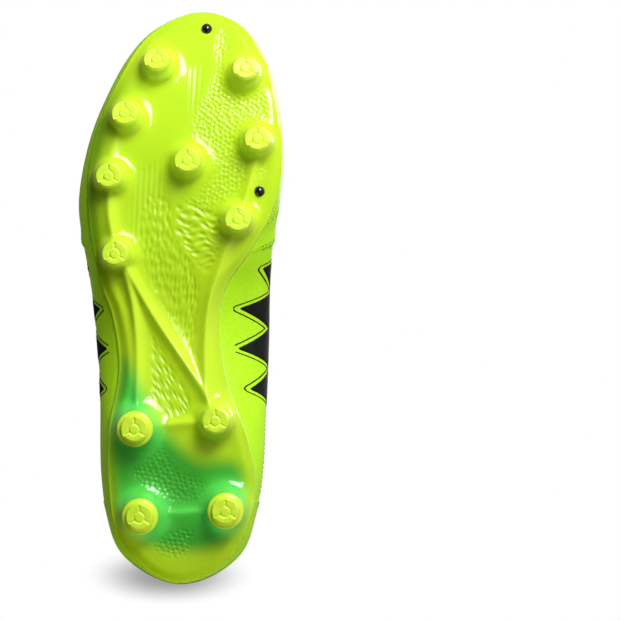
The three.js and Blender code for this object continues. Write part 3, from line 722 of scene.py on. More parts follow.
def ring_steps(start, end, size=1.1):
    """Ring coordinates from start to end, in steps of about size at the plate's edge."""
    stops = [start] + [k for k in range(-1, 5) if start < k < end] + [end]
    runs = []
    for a, b in zip(stops, stops[1:]):
        straight = int(np.floor((a + b) / 2)) % 2 == 0
        length = (b - a) * (195 if straight else 125)
        runs.append(np.linspace(a, b, max(2, int(length / size)), endpoint=False))
    return np.concatenate([*runs, [end]])


def tube(path, radius, sides=8, closed=False, up=None):
    """Rings of points round a path: each ring's first axis is square to the path and to its up direction."""
    path = np.asarray(path, float)
    if closed:
        way = np.roll(path, -1, axis=0) - np.roll(path, 1, axis=0)
    else:
        way = np.gradient(path, axis=0)
    way /= np.maximum(np.linalg.norm(way, axis=1, keepdims=True), 1e-9)
    if up is None:
        up = np.broadcast_to([0.13, 0.21, 0.97], path.shape)
    across = np.cross(way, up)
    across /= np.maximum(np.linalg.norm(across, axis=1, keepdims=True), 1e-9)
    up = np.cross(across, way)
    angle = np.linspace(0, 2 * np.pi, sides, endpoint=False)
    radius = np.broadcast_to(np.asarray(radius, float).reshape(-1, 1, 1), (len(path), 1, 1))
    cos, sin = np.cos(angle)[None, :, None], np.sin(angle)[None, :, None]
    rings = path[:, None] + radius * (across[:, None] * cos + up[:, None] * sin)
    faces = grid_faces(len(path), sides, wrap_rows=closed, wrap_columns=True)
    if closed:
        return rings.reshape(-1, 3), faces
    n = rings.shape[0] * sides
    points = np.vstack([rings.reshape(-1, 3), path[:1], path[-1:]])
    k = np.arange(sides)
    nxt = (k + 1) % sides
    start = np.stack([np.full(sides, n), k, nxt, nxt], -1)[:, [0, 2, 1, 1]]
    end = np.stack([np.full(sides, n + 1), n - sides + k, n - sides + nxt, n - sides + nxt], -1)
    return points, np.vstack([faces, start, end])


def joined(parts):
    """Several (points, faces) as one."""
    points, faces, start = [], [], 0
    for p, f in parts:
        points.append(p)
        faces.append(np.asarray(f) + start)
        start += len(p)
    return np.vstack(points), np.vstack(faces)


def even(path, pitch):
    """Points along a path at even steps of about pitch."""
    path = np.asarray(path, float)
    run = np.concatenate([[0], np.cumsum(np.linalg.norm(np.diff(path, axis=0), axis=1))])
    count = max(2, int(round(run[-1] / pitch)) + 1)
    at = np.linspace(0, run[-1], count)
    return np.stack([np.interp(at, run, path[:, k]) for k in range(path.shape[1])], -1)


def stitches(path, normals, length, radius):
    """A capsule for every point of a path, lying along it, its ends dipped: four rings of six points each."""
    path = np.asarray(path, float)
    way = np.gradient(path, axis=0)
    way /= np.linalg.norm(way, axis=1, keepdims=True)
    across = np.cross(way, normals)
    across /= np.linalg.norm(across, axis=1, keepdims=True)
    lift = np.cross(across, way)
    along = np.array([-0.5, -0.32, 0.32, 0.5])[None, :, None, None] * length
    thick = np.array([0.35, 1, 1, 0.35])[None, :, None, None] * radius
    sag = np.array([-0.8, 0.2, 0.2, -0.8])[None, :, None, None] * radius
    angle = np.linspace(0, 2 * np.pi, 6, endpoint=False)
    cos, sin = np.cos(angle)[None, None, :, None], np.sin(angle)[None, None, :, None]
    ring = across[:, None, None] * cos + lift[:, None, None] * sin
    points = path[:, None, None] + way[:, None, None] * along + ring * thick + lift[:, None, None] * sag
    one = grid_faces(4, 6, wrap_columns=True)
    ends = np.array([[0, 5, 4, 1], [1, 4, 3, 2], [18, 19, 22, 23], [19, 20, 21, 22]])
    one = np.vstack([one, ends])
    faces = (one[None] + 24 * np.arange(len(path))[:, None, None]).reshape(-1, 4)
    return points.reshape(-1, 3), faces


def shifted(line, by):
    """A side-view line moved sideways by a distance, to its left when positive."""
    way = np.gradient(np.asarray(line, float), axis=0)
    way /= np.linalg.norm(way, axis=1, keepdims=True)
    return line + by * np.stack([-way[:, 1], way[:, 0]], -1)


def on_skin(line, side, depth):
    """Points of the skin, and its normals there, along a line in side view."""
    u, w = find_side(line[:, 0], line[:, 1], side)
    return skin(u, w, depth), normal(u, w)


# ---- materials -----------------------------------------------------------------------------------

WHITE = (1.0, 1.0, 1.0)
# Makes a Mix node one of colours: sockets 6 and 7 are the two colours, and 0 is the share of the second
RGB = {"data_type": "RGBA"}
MM = 0.001


def linear(code):
    """An sRGB hex value as linear red, green, blue."""
    srgb = np.array([int(code[i:i + 2], 16) for i in (1, 3, 5)]) / 255
    return tuple(np.where(srgb <= 0.04045, srgb / 12.92, ((srgb + 0.055) / 1.055) ** 2.4))


def add(owner, kind, inputs=None, out=None, **settings):
    """Adds a node to a material or world and returns its output: the one named by out, or the first in use.

    settings are the node's own properties, inputs its sockets, each a value or another node's output.
    """
    tree = owner.node_tree
    node = tree.nodes.new("ShaderNode" + kind)
    for key, value in settings.items():
        setattr(node, key, value)
    for key, value in (inputs or {}).items():
        socket = node.inputs[key]
        if isinstance(value, bpy.types.NodeSocket):
            tree.links.new(value, socket)
        else:
            socket.default_value = (*value, 1) if socket.type == "RGBA" else value
    return node.outputs[out] if out else next((socket for socket in node.outputs if socket.enabled), None)


def new_material(name):
    material = bpy.data.materials.new(name)
    material.use_nodes = True
    material.node_tree.nodes.clear()
    return material


def finish_material(material, inputs):
    """A Principled surface with these sockets, wired to the output."""
    add(material, "OutputMaterial", {"Surface": add(material, "BsdfPrincipled", inputs)})
    return material


def placed_at(material, size_mm):
    """The object's own coordinates, scaled so that one unit is size_mm."""
    where = add(material, "TexCoord", out="Object")
    return add(material, "Mapping", {"Vector": where, "Scale": (1000 / size_mm,) * 3})


def patches(material, size_mm, detail, low, high, most=1.0):
    """Random patches about size_mm across: 0 where the noise is under low, most where it is over high."""
    where = placed_at(material, size_mm)
    cloud = add(material, "TexNoise", {"Vector": where, "Scale": 1.0, "Detail": detail})
    return add(material, "MapRange", {"Value": cloud, "From Min": low, "From Max": high, "To Max": most})


def roughened(material, size_mm, detail, strength, depth_mm):
    """Normals of a surface with random bumps about size_mm across and depth_mm high."""
    where = placed_at(material, size_mm)
    height = add(material, "TexNoise", {"Vector": where, "Scale": 1.0, "Detail": detail})
    return add(material, "Bump", {"Height": height, "Strength": strength, "Distance": depth_mm * MM})


# What the eye gets from light inside the moulded polyurethane
TPU_GLOW = {
    "IOR": 1.5, "Subsurface Weight": 0.12, "Subsurface Radius": (1.0, 0.9, 0.2), "Subsurface Scale": 3 * MM,
}


def tpu_plate(colours):
    """Injection-moulded translucent polyurethane: glossy, green over the gel, painted shade in hollows, light
    on ridges.
    """
    m = new_material("tpu_moulded_plate")
    names = ("relief", "thin", "gel", "cover")
    relief, thin, gel, cover = (add(m, "Attribute", out="Fac", attribute_name=name) for name in names)
    # deep and high follow the relief: the darker hollows are painted shade and the lighter raised parts are
    # painted light, partly standing for light inside thick polyurethane
    deep = add(m, "MapRange", {"Value": relief, "From Max": 1.6})
    high = add(m, "MapRange", {"Value": relief, "From Min": 1.5, "From Max": 4.5, "To Max": 0.35})
    lime = add(m, "Mix", {0: deep, 6: colours.plate_hollow_shade, 7: colours.plate}, **RGB)
    lime = add(m, "Mix", {0: high, 6: lime, 7: linear("#D9FB45")}, **RGB)
    # the green over the gel gets the same painted shade in its hollows and painted light on its raised parts
    green = add(m, "Mix", {0: deep, 6: linear("#3FAE2C"), 7: colours.gel}, **RGB)
    green = add(m, "Mix", {0: high, 6: green, 7: linear("#7CF279")}, **RGB)
    # painted shade: the plate's outer lateral border darkened
    border = add(m, "MapRange", {"Value": thin, "To Max": 0.95})
    lime = add(m, "Mix", {0: border, 6: lime, 7: linear("#6F9E00")}, **RGB)
    glow = add(m, "Mix", {0: gel, 6: lime, 7: green}, **RGB)
    cloud = patches(m, 22, 1, 0.3, 0.7, 0.16)
    base = add(m, "Mix", {0: cloud, 6: glow, 7: linear("#C4EE20")}, blend_type="MULTIPLY", **RGB)
    return finish_material(m, {
        "Base Color": base, "Roughness": add(m, "MapRange", {"Value": cover, "To Min": 0.16, "To Max": 0.30}),
        "Normal": roughened(m, 0.5, 3, 0.12, 0.06), "Coat Weight": 0.25, "Coat Roughness": 0.06, **TPU_GLOW,
    })


def tpu_stud(colours):
    """Harder moulded polyurethane for the stud tips: opaque and paler than the plate, with a duller face."""
    m = new_material("tpu_moulded_stud")
    relief, tip = (add(m, "Attribute", out="Fac", attribute_name=name) for name in ("relief", "tip"))
    # high lightens the wall towards the tip: painted light, partly standing for light inside thick
    # polyurethane
    high = add(m, "MapRange", {"Value": relief, "From Min": 1.2, "From Max": 4.5})
    wall = add(m, "Mix", {0: high, 6: colours.plate, 7: linear("#D9FB45")}, **RGB)
    whole = add(m, "Mix", {0: tip, 6: wall, 7: colours.stud}, **RGB)
    cloud = patches(m, 9, 2, 0.35, 0.7, 0.2)
    base = add(m, "Mix", {0: cloud, 6: whole, 7: linear("#D6F52E")}, blend_type="MULTIPLY", **RGB)
    return finish_material(m, {
        "Base Color": base, "Roughness": add(m, "MapRange", {"Value": tip, "To Min": 0.16, "To Max": 0.42}),
        "Normal": roughened(m, 0.6, 3, 0.1, 0.06), "Coat Weight": 0.3, "Coat Roughness": 0.08, **TPU_GLOW,
    })


def lacquered_tack():
    """A steel tack with a thick black lacquer: a small mirror-like dome."""
    m = new_material("lacquered_steel_tack")
    base = add(m, "Mix", {0: patches(m, 1.2, 2, 0.4, 0.7), 6: linear("#050506"), 7: linear("#101114")}, **RGB)
    return finish_material(m, {
        "Base Color": base, "Roughness": 0.12, "Normal": roughened(m, 0.8, 2, 0.08, 0.05), "IOR": 1.5,
        "Coat Weight": 0.6, "Coat Roughness": 0.04,
    })


def synthetic_leather(name, colours, grain_mm, strength):
    """Coated microfibre: satin lime skin, fine pebbled grain with painted shade between pebbles, slightly
    uneven dye.
    """
    m = new_material(name)
    blotch = patches(m, 14, 2, 0.3, 0.7, 0.35)
    dyed = add(m, "Mix", {0: blotch, 6: colours.leather, 7: linear("#A4E80E")}, **RGB)
    pebbles = add(m, "TexVoronoi", {"Vector": placed_at(m, grain_mm), "Scale": 1.0})
    # darker between the pebbles: painted shade in the grain's creases
    between = add(m, "MapRange", {"Value": pebbles, "From Min": 0.45, "From Max": 0.8, "To Max": 0.16})
    creased = add(m, "Mix", {0: between, 6: dyed, 7: linear("#7FC004")}, **RGB)
    waves = add(m, "TexNoise", {"Vector": placed_at(m, 2.4), "Scale": 1.0, "Detail": 3.0})
    height = add(m, "Math", {0: waves, 1: pebbles}, operation="SUBTRACT")
    return finish_material(m, {
        "Base Color": creased, "Roughness": 0.45, "IOR": 1.38, "Coat Weight": 0.05, "Coat Roughness": 0.2,
        "Normal": add(m, "Bump", {"Height": height, "Strength": strength, "Distance": 0.12 * MM}),
    })


def black_film(colours):
    """Printed rubbery film: near-black with the leather's grain coming through it."""
    m = new_material("printed_black_film")
    base = add(m, "Mix", {0: patches(m, 6, 3, 0.35, 0.7), 6: colours.film, 7: linear("#11150E")}, **RGB)
    pebbles = add(m, "TexVoronoi", {"Vector": placed_at(m, 0.9), "Scale": 1.0})
    grain = add(m, "Bump", {"Height": pebbles, "Strength": 0.25, "Distance": 0.12 * MM})
    return finish_material(m, {"Base Color": base, "Roughness": 0.5, "Normal": grain, "IOR": 1.33})


def knitted(name, light, dark, pitch_mm, rough):
    """Knitted or woven cloth: rows of tiny loops with painted shade between them, and a soft sheen."""
    m = new_material(name)
    loops = add(m, "TexVoronoi", {"Vector": placed_at(m, pitch_mm), "Scale": 1.0, "Randomness": 0.35})
    # darker between the loops: painted shade
    gaps = add(m, "MapRange", {"Value": loops, "From Min": 0.2, "From Max": 0.75})
    base = add(m, "Mix", {0: gaps, 6: light, 7: dark}, **RGB)
    worn = add(m, "Mix", {0: patches(m, 9, 2, 0.35, 0.7, 0.25), 6: base, 7: dark}, **RGB)
    return finish_material(m, {
        "Base Color": worn, "Roughness": rough, "Sheen Weight": 0.25, "Sheen Roughness": 0.5,
        "Normal": add(m, "Bump", {"Height": loops, "Strength": -0.7, "Distance": 0.3 * MM}),
    })


def moulded_foam(name, light, dark, cell_mm, rough):
    """Foamed or fibrous board: fine cells, matt, with faint shade between them."""
    m = new_material(name)
    foam_cells = add(m, "TexVoronoi", {"Vector": placed_at(m, cell_mm), "Scale": 1.0})
    gaps = add(m, "MapRange", {"Value": foam_cells, "From Min": 0.3, "From Max": 0.8})
    base = add(m, "Mix", {0: gaps, 6: linear(light), 7: linear(dark)}, **RGB)
    grain = add(m, "Bump", {"Height": foam_cells, "Strength": 0.4, "Distance": 0.15 * MM})
    return finish_material(m, {"Base Color": base, "Roughness": rough, "Normal": grain})


def gel_elastomer():
    """Soft clear elastomer, deep green through its thickness, with a wet shine and a few bubbles."""
    m = new_material("gel_elastomer")
    bubbles = add(m, "TexVoronoi", {"Vector": placed_at(m, 3.0), "Scale": 1.0})
    depth = add(m, "MapRange", {"Value": bubbles, "From Max": 0.25})
    base = add(m, "Mix", {0: depth, 6: linear("#7BE88A"), 7: linear("#1FA83A")}, **RGB)
    return finish_material(m, {
        "Base Color": base, "Roughness": 0.12, "IOR": 1.45, "Transmission Weight": 0.25,
        "Subsurface Weight": 0.2, "Subsurface Radius": (0.4, 1.0, 0.4), "Subsurface Scale": 4 * MM,
        "Normal": add(m, "Bump", {"Height": bubbles, "Strength": 0.1, "Distance": 0.1 * MM}),
    })


def braided_lace(colours):
    """A tubular polyester lace: crossing strands every 1.6 mm, with painted light on their crowns."""
    m = new_material("braided_lace")
    along = add(m, "UVMap", uv_map="UVMap")
    turned = [add(m, "Mapping", {"Vector": along, "Rotation": (0, 0, angle)}) for angle in (0.62, -0.62)]
    one, two = (add(m, "TexWave", {"Vector": vector, "Scale": 1.0, "Distortion": 0.3}, out="Fac")
                for vector in turned)
    strands = add(m, "Math", {0: one, 1: two}, operation="MAXIMUM")
    # lighter on the strands' crowns and darker between them: painted light and painted shade
    crowns = add(m, "MapRange", {"Value": strands, "From Min": 0.3, "From Max": 0.95})
    return finish_material(m, {
        "Base Color": add(m, "Mix", {0: crowns, 6: linear("#C2F02A"), 7: colours.lace}, **RGB),
        "Normal": add(m, "Bump", {"Height": strands, "Strength": 0.9, "Distance": 0.18 * MM}),
        "Roughness": 0.7, "Sheen Weight": 0.06, "Sheen Roughness": 0.5,
    })


def sewing_thread(colours):
    """Waxed polyester thread: twisted, a little darker than the leather as painted shade of its stitch holes.
    """
    m = new_material("sewing_thread")
    # the thread is darker than the leather as painted shade of the holes it sinks into; the patches vary its
    # tone at random
    base = add(m, "Mix", {0: patches(m, 0.25, 2, 0.35, 0.65), 6: linear("#6FA80A"), 7: colours.thread}, **RGB)
    return finish_material(m, {
        "Base Color": base, "Roughness": 0.55, "Normal": roughened(m, 0.25, 2, 0.5, 0.06),
        "Sheen Weight": 0.2, "Sheen Roughness": 0.5,
    })


def aglet_film():
    """Crimped acetate film over the lace's end: glossy, slightly yellowed, with faint crimp lines."""
    m = new_material("acetate_aglet_film")
    cloud = patches(m, 2.5, 2, 0.35, 0.65)
    base = add(m, "Mix", {0: cloud, 6: linear("#D5EBA0"), 7: linear("#BFE070")}, **RGB)
    return finish_material(m, {
        "Base Color": base, "Roughness": 0.15, "Normal": roughened(m, 1.6, 1, 0.2, 0.1), "IOR": 1.47,
        "Coat Weight": 0.3, "Coat Roughness": 0.05,
    })


def bond_cement():
    """The thin line of dried cement squeezed out between plate and upper."""
    m = new_material("dried_bond_cement")
    base = add(m, "Mix", {0: patches(m, 3, 3, 0.4, 0.65), 6: linear("#EFE3CF"), 7: linear("#D9EA8C")}, **RGB)
    crumbs = roughened(m, 1.0, 3, 0.4, 0.1)
    return finish_material(m, {"Base Color": base, "Roughness": 0.45, "Normal": crumbs})


def pressed_binding():
    """Heat-pressed film that binds a punched eyelet or a raw edge: glossy, dark lime."""
    m = new_material("pressed_eyelet_binding")
    cloud = patches(m, 1.5, 2, 0.35, 0.7)
    base = add(m, "Mix", {0: cloud, 6: linear("#93CC0A"), 7: linear("#7DB206")}, **RGB)
    grain = roughened(m, 0.6, 2, 0.15, 0.06)
    return finish_material(m, {"Base Color": base, "Roughness": 0.28, "Normal": grain})


# ---- sizes and colours ---------------------------------------------------------------------------


def colour_property(name, description, code):
    return bpy.props.FloatVectorProperty(name=name, description=description, default=linear(code),
                                         subtype="COLOR", size=3, min=0, max=1)


def length_property(name, description, metres):
    return bpy.props.FloatProperty(name=name, description=description, default=metres, subtype="DISTANCE",
                                   unit="LENGTH", precision=5)


class CleatSizes(bpy.types.PropertyGroup):
    """Small sizes of the cleat's details."""

    stitch_pitch: length_property("Stitch pitch", "From one stitch to the next", 0.0024)
    stitch_length: length_property("Stitch length", "Visible length of a stitch", 0.0017)
    thread: length_property("Thread", "Diameter of the sewing thread", 0.00045)


class CleatColours(bpy.types.PropertyGroup):
    """Colours of the cleat's finishes."""

    plate: colour_property("Plate", "Moulded plate at its usual thickness", "#D2F326")
    # darker plate colour for its low parts between the raised relief: painted shade
    plate_hollow_shade: colour_property("Plate, thin", "Plate in its hollows", "#C0E81C")
    gel: colour_property("Gel", "Gel pad seen through the plate", "#55DC4E")
    stud: colour_property("Stud tips", "Faces of the studs", "#DCFF3A")
    leather: colour_property("Leather", "Synthetic leather of the upper", "#C2FA1E")
    film: colour_property("Film", "Printed saddles", "#050805")
    # lighter colour of the lace strands' crowns: painted light
    lace: colour_property("Lace", "Crowns of the lace's strands", "#E0FF55")
    # darker than the leather: painted shade of the stitch holes
    thread: colour_property("Thread", "Sewing thread", "#9AD015")
    cloth: colour_property("Cloth", "Knitted top of the sockliner", "#1D1F22")


# ---- operators -----------------------------------------------------------------------------------


class CLEAT_OT_plate(bpy.types.Operator):
    """Moulds the outsole plate: ribs, stud roots, textured zones and the curled edge"""

    bl_idname = "cleat.plate"
    bl_label = "Outsole plate"

    def execute(self, context):
        sx, sy, dx, dy, reach, _ = ribs_round(330, 240, 190)
        rounding = 0.9
        inner = reach - rounding
        v = np.linspace(0, 1, 79)[:, None]
        px, py = sx + dx * inner * v, sy + dy * inner * v
        z, values = sole(px, py, reach - inner * v)
        turn = np.linspace(0, np.pi, 7)[1:, None]
        rim = inner + rounding * np.sin(turn)
        rim_z = lerp(z[-1], plate_bottom(px[-1]) + PLATE_THICKNESS, (1 - np.cos(turn)) / 2)
        back = np.array([0.75, 0.5, 0.25, 0.0])[:, None]
        top_x = sx + dx * inner * back
        points = np.concatenate([
            np.stack([px, py, z], -1),
            np.stack([sx + dx * rim, sy + dy * rim, rim_z], -1),
            np.stack([top_x, sy + dy * inner * back, plate_bottom(top_x) + PLATE_THICKNESS], -1),
        ])
        values = {key: np.vstack([rows, np.repeat(rows[-1:], len(points) - len(rows), 0)])
                  for key, rows in values.items()}
        faces = grid_faces(*points.shape[:2], wrap_columns=True)
        put_mesh("moulded_plate", points, faces, tpu_plate(context.scene.cleat_colours), "cleat", "plate",
                 ["outsole_plate"], values)
        return {"FINISHED"}


def tip_face(r, angle, radius):
    """Relief of a stud's face: a boss in the middle, three grooves out from it and a raised rear third."""
    boss = 0.25 * (1 - step(1.9, 2.4, r)) - 0.25 * bell(r - 2.6, 0.4)
    grooves = np.zeros(np.broadcast(r, angle).shape)
    for spoke in (0, 2 * np.pi / 3, -2 * np.pi / 3):
        off = np.abs(r * np.sin(angle - spoke))
        grooves -= 0.7 * bell(off, 0.38) * (np.cos(angle - spoke) > 0) * step(2.4, 3, r)
    turned = np.abs(np.angle(np.exp(1j * (angle - np.pi))))
    rear = 0.75 * step(np.pi / 3 + 0.05, np.pi / 3 - 0.12, turned) * step(2.6, 3.2, r)
    return (boss + grooves + rear) * (1 - step(radius - 1.0, radius - 0.1, r))


def stud_points(x, y, kind):
    """A stud as rings from the middle of its face, over its edge and down its wall into the plate.

    Each ring has a radius and a depth behind the tip. The wall follows the same exponential as the plate's
    root, and a slim stud's leaning wall eases into that root. Returns the points, and for the colour each
    point's relief, which lightens the wall towards the tip as painted light, and whether it is on the face.
    """
    axis = stud_axis(x, y, kind)
    height = stud_height(kind)
    start, full, fade, _, face = STUD_KINDS[kind]
    face_r = np.linspace(0, face, 22)
    edge = np.linspace(0, np.pi / 2, 6)[1:]
    rounding = 0.55
    edge_r, edge_d = face + rounding * np.sin(edge), rounding * (1 - np.cos(edge))
    if kind == "disc":
        wall_r = np.array([6.6, 6.8, 7.1, 7.7, 8.3, 8.65, 8.8, 8.85, 8.6, 7.0])
        wall_d = np.array([1.1, 1.9, 2.5, 2.8, 2.95, 3.25, 3.8, 4.9, 5.6, 6.0])
    else:
        heights = np.append(np.geomspace(full * 0.93, full * 0.22, 16), full * 0.08)
        wall_r = start + fade * np.log(full / heights) + 0.05
        wall_d = full - heights
        wall_r[-1] -= 2.5
    r = np.concatenate([face_r, edge_r, wall_r])
    d = np.concatenate([np.zeros(len(face_r)), edge_d, wall_d])
    angle = np.linspace(0, 2 * np.pi, 96, endpoint=False)
    r, angle = r[:, None], angle[None, :]
    relief = np.where(np.arange(len(r))[:, None] < len(face_r), tip_face(r, angle, face + 0.4), 0)
    depth = d[:, None] - relief
    side = np.cross(axis, [0, 1.0, 0])
    side /= np.linalg.norm(side)
    if side[0] < 0:
        side = -side
    other = -np.cross(side, axis)
    tip_z = max(0.0, float(plate_bottom(x)) - BALL_STUD_HEIGHT) if x > TOE_SPRING_FROM else 0.0
    tip = np.array([x, y, tip_z])
    points = (tip + side * (r * np.cos(angle))[..., None] + other * (r * np.sin(angle))[..., None]
              - axis * depth[..., None])
    if kind != "disc":
        cx, cy = root_centre(x, y, kind)
        px, py = cx + r * np.cos(angle), cy - r * np.sin(angle)
        root = np.stack([px, py, plate_bottom(px) - (height - d)[:, None]], -1)
        points = lerp(points, root, step(0.3 * height, 0.62 * height, d)[:, None, None])
    return points, np.maximum(height - d, 0)[:, None] + 0 * angle, (d < 0.6)[:, None] + 0.0 * angle


class CLEAT_OT_studs(bpy.types.Operator):
    """Turns the twelve studs, each with its grooved face"""

    bl_idname = "cleat.studs"
    bl_label = "Studs"

    def execute(self, context):
        material = tpu_stud(context.scene.cleat_colours)
        for name, x, y, kind in STUDS:
            points, relief, tip = stud_points(x, y, kind)
            if kind == "disc":
                tip = np.ones_like(tip)
            cap = points[-1].mean(axis=0)[None, None].repeat(points.shape[1], 1)
            points = np.concatenate([points, cap])
            faces = grid_faces(*points.shape[:2], wrap_columns=True)[:, ::-1]
            values = {"relief": np.concatenate([relief, relief[-1:]]), "tip": np.concatenate([tip, tip[-1:]])}
            moulded = name.replace("_stud", "_moulded_stud")
            put_mesh(moulded, points, faces, material, "cleat", "stud", [name], values)
        return {"FINISHED"}


class CLEAT_OT_tacks(bpy.types.Operator):
    """Sets the two black tacks in the plate"""

    bl_idname = "cleat.tacks"
    bl_label = "Tacks"

    def execute(self, context):
        material = lacquered_tack()
        turn = np.linspace(0, 0.58 * np.pi, 14)[:, None]
        angle = np.linspace(0, 2 * np.pi, 40, endpoint=False)[None, :]
        shank = np.array([[1.1], [1.1], [0.0]])
        shank_top = np.array([[1.0], [6.0], [6.0]])
        for name, x, y in TACKS:
            base = float(plate_bottom(x))
            r = np.concatenate([2.75 * np.sin(turn), shank])
            z = np.concatenate([base + 0.4 - 2.7 * np.cos(turn), shank_top + base]) + 0 * angle
            points = np.stack([x + r * np.cos(angle), y + r * np.sin(angle), z], -1)
            faces = grid_faces(*points.shape[:2], wrap_columns=True)
            put_mesh(name + "_head", points, faces[:, ::-1], material, "cleat", "tack", [name])
        return {"FINISHED"}


def eyelet_centres():
    """Ring coordinate and share of the twelve eyelets on the skin."""
    places = [find_plan(np.array(EYELET_X, float), side, THROAT_HALF + EYELET_FROM_EDGE) for side in (-1, 1)]
    return np.concatenate([p[0] for p in places]), np.concatenate([p[1] for p in places])


def clear_of_eyelets(radius):
    """Levels that leave a round hole at every eyelet: the distance to its centre less the radius."""
    u, w = eyelet_centres()
    return [lambda p, c=c: np.linalg.norm(p - c, axis=1) - radius for c in skin(u, w)]


def on_side(side):
    """A level function: positive on one side of the spine."""
    return lambda p: side * (p[:, 1] - spine_y(p[:, 0])) - 0.1


# Name and side, and the stretches of the ring coordinate that its quarter, eyestay and saddle lie on
SIDES = [
    ("lateral", -1, (-0.45, 0.97), (0.3, 1.6), (0.1, 0.8)),
    ("medial", 1, (2.03, 3.45), (1.4, 2.7), (2.2, 2.9)),
]


def lapped(region, lift=0.8):
    """Outer and inner depths of a panel that lies over its neighbour along a region's edge.

    It rises there by lift, less near the feather line, and is thin where the neighbour reaches under it.
    """
    def outer(p):
        height = step(1, 12, p[:, 2] - feather(p[:, 0]))
        return -lerp(0.15, lift, height) * (1 - step(1.0, 9.0, in_side(region, p)))

    def inner(p):
        return lerp(-0.05, UPPER_THICKNESS, step(LAP + 0.2, 7.5, in_side(region, p)))
    return outer, inner


class CLEAT_OT_upper(bpy.types.Operator):
    """Cuts the vamp, the two quarters and the heel cover, lapped over each other at their seams"""

    bl_idname = "cleat.upper"
    bl_label = "Upper"

    def execute(self, context):
        colours = context.scene.cleat_colours
        smooth = synthetic_leather("synthetic_leather_vamp", colours, 1.1, 0.22)
        grained = synthetic_leather("synthetic_leather_quarter", colours, 0.9, 0.3)
        ws = np.linspace(0, 1, 92)
        cut = patch(ring_steps(0.5, 2.5), ws, [ahead_of_vamp_seam, outside_throat])
        put_shell("vamp_panel", cut, *lapped(AHEAD_OF_VAMP), smooth, "cleat", "upper", ["vamp"])
        cut = patch(ring_steps(2.85, 4.15), ws, [behind_heel_seam, under_collar])
        put_shell("heel_panel", cut, *lapped(BEHIND_HEEL, 0.22), grained, "cleat", "upper", ["heel_cover"])
        tucked = [
            lambda p: LAP - ahead_of_vamp_seam(p), lambda p: LAP - behind_heel_seam(p), under_collar,
            outside_throat, *clear_of_eyelets(EYELET_RADIUS + 0.6),
        ]
        for name, _, span, _, _ in SIDES:
            cut = patch(ring_steps(*span), ws, tucked)
            put_shell(f"{name}_quarter_panel", cut, 0, UPPER_THICKNESS, grained, "cleat", "upper",
                      [f"{name}_quarter"])
        return {"FINISHED"}


class CLEAT_OT_overlays(bpy.types.Operator):
    """Lays the eyestays with their bound eyelets, and the printed saddles with a thin line round each"""

    bl_idname = "cleat.overlays"
    bl_label = "Overlays"

    def execute(self, context):
        colours = context.scene.cleat_colours
        leather = synthetic_leather("synthetic_leather_eyestay", colours, 1.0, 0.26)
        film = black_film(colours)
        strip = [outside_throat, under_collar, over_throat(EYESTAY_WIDTH, -40)]
        holes = clear_of_eyelets(EYELET_RADIUS)
        clear = beyond(over_throat(EYESTAY_WIDTH + 0.6, THROAT_BACK, 40))
        printed = [in_saddle, under_collar, clear]
        outlined = [lambda p: in_saddle(p) + 1.9, lambda p: -1.4 - in_saddle(p), under_collar, clear]
        for name, side, _, eyestay_span, saddle_span in SIDES:
            us = ring_steps(*eyestay_span, 0.8)
            cut = patch(us, np.linspace(0.45, 1, 84), [*strip, on_side(side), *holes])
            put_shell(f"{name}_eyestay_panel", cut, -1.35, 0.2, leather, "cleat", "upper",
                      [f"{name}_eyestay"])
            us, ws = ring_steps(*saddle_span, 0.8), np.linspace(0.02, 0.95, 100)
            put_shell(f"{name}_saddle_film", patch(us, ws, printed), -0.35, 0.1, film, "cleat", "black_film",
                      [f"{name}_saddle"], roll=0.2)
            put_shell(f"{name}_saddle_line", patch(us, ws, outlined), -0.22, 0.1, film, "cleat", "black_film",
                      roll=0.1)
        u, w = eyelet_centres()
        turn = np.linspace(0, 2 * np.pi, 28, endpoint=False)[:, None]
        rings = []
        for centre, out in zip(skin(u, w, -1.32), normal(u, w)):
            a = np.cross(out, [1.0, 0, 0])
            a /= np.linalg.norm(a)
            b = np.cross(out, a)
            circle = centre + (EYELET_RADIUS + 0.25) * (a * np.cos(turn) + b * np.sin(turn))
            rings.append(tube(circle, 0.42, 8, closed=True, up=np.tile(out, (28, 1))))
        put_mesh("eyelet_bindings", *joined(rings), pressed_binding(), "cleat", "upper")
        return {"FINISHED"}


FOAM_AT_HEEL, FOAM_AT_BALL = 5.2, 2.0  # thickness of the midsole foam
BOARD_STACK = 1.8  # the lasting board and the gap over it


def midsole_top(x):
    """Level of the lasting board's underside, a gap over the foam."""
    return feather(x) + lerp(FOAM_AT_HEEL, FOAM_AT_BALL, step(-75, 20, x)) + GAP


def above_board(height):
    """A level in the shoe, as a function of x: a height over where the sockliner lies."""
    return lambda x: midsole_top(x) + BOARD_STACK + height


def put_slab(name, inset, low, high, material, body, slot, replaces=(), edge=0.8):
    """A layer in the last: the plate's outline drawn in by inset, between two levels, with a round edge."""
    sx, sy, dx, dy, reach, _ = ribs_round(150, 70, 60)
    r = reach - inset
    v = np.linspace(0, 1, 34)[:, None]
    turn = np.linspace(0, np.pi, 8)[1:-1, None]
    rs = np.concatenate([(r - edge) * v, r - edge + edge * np.sin(turn), (r - edge) * v[::-1]])
    share = np.concatenate([np.ones_like(v), (1 + np.cos(turn)) / 2, np.zeros_like(v)])
    x, y = sx + dx * rs, sy + dy * rs
    z = lerp(low(x), high(x), share)
    faces = grid_faces(*x.shape, wrap_columns=True)
    return put_mesh(name, np.stack([x, y, z], -1), faces, material, body, slot, replaces)


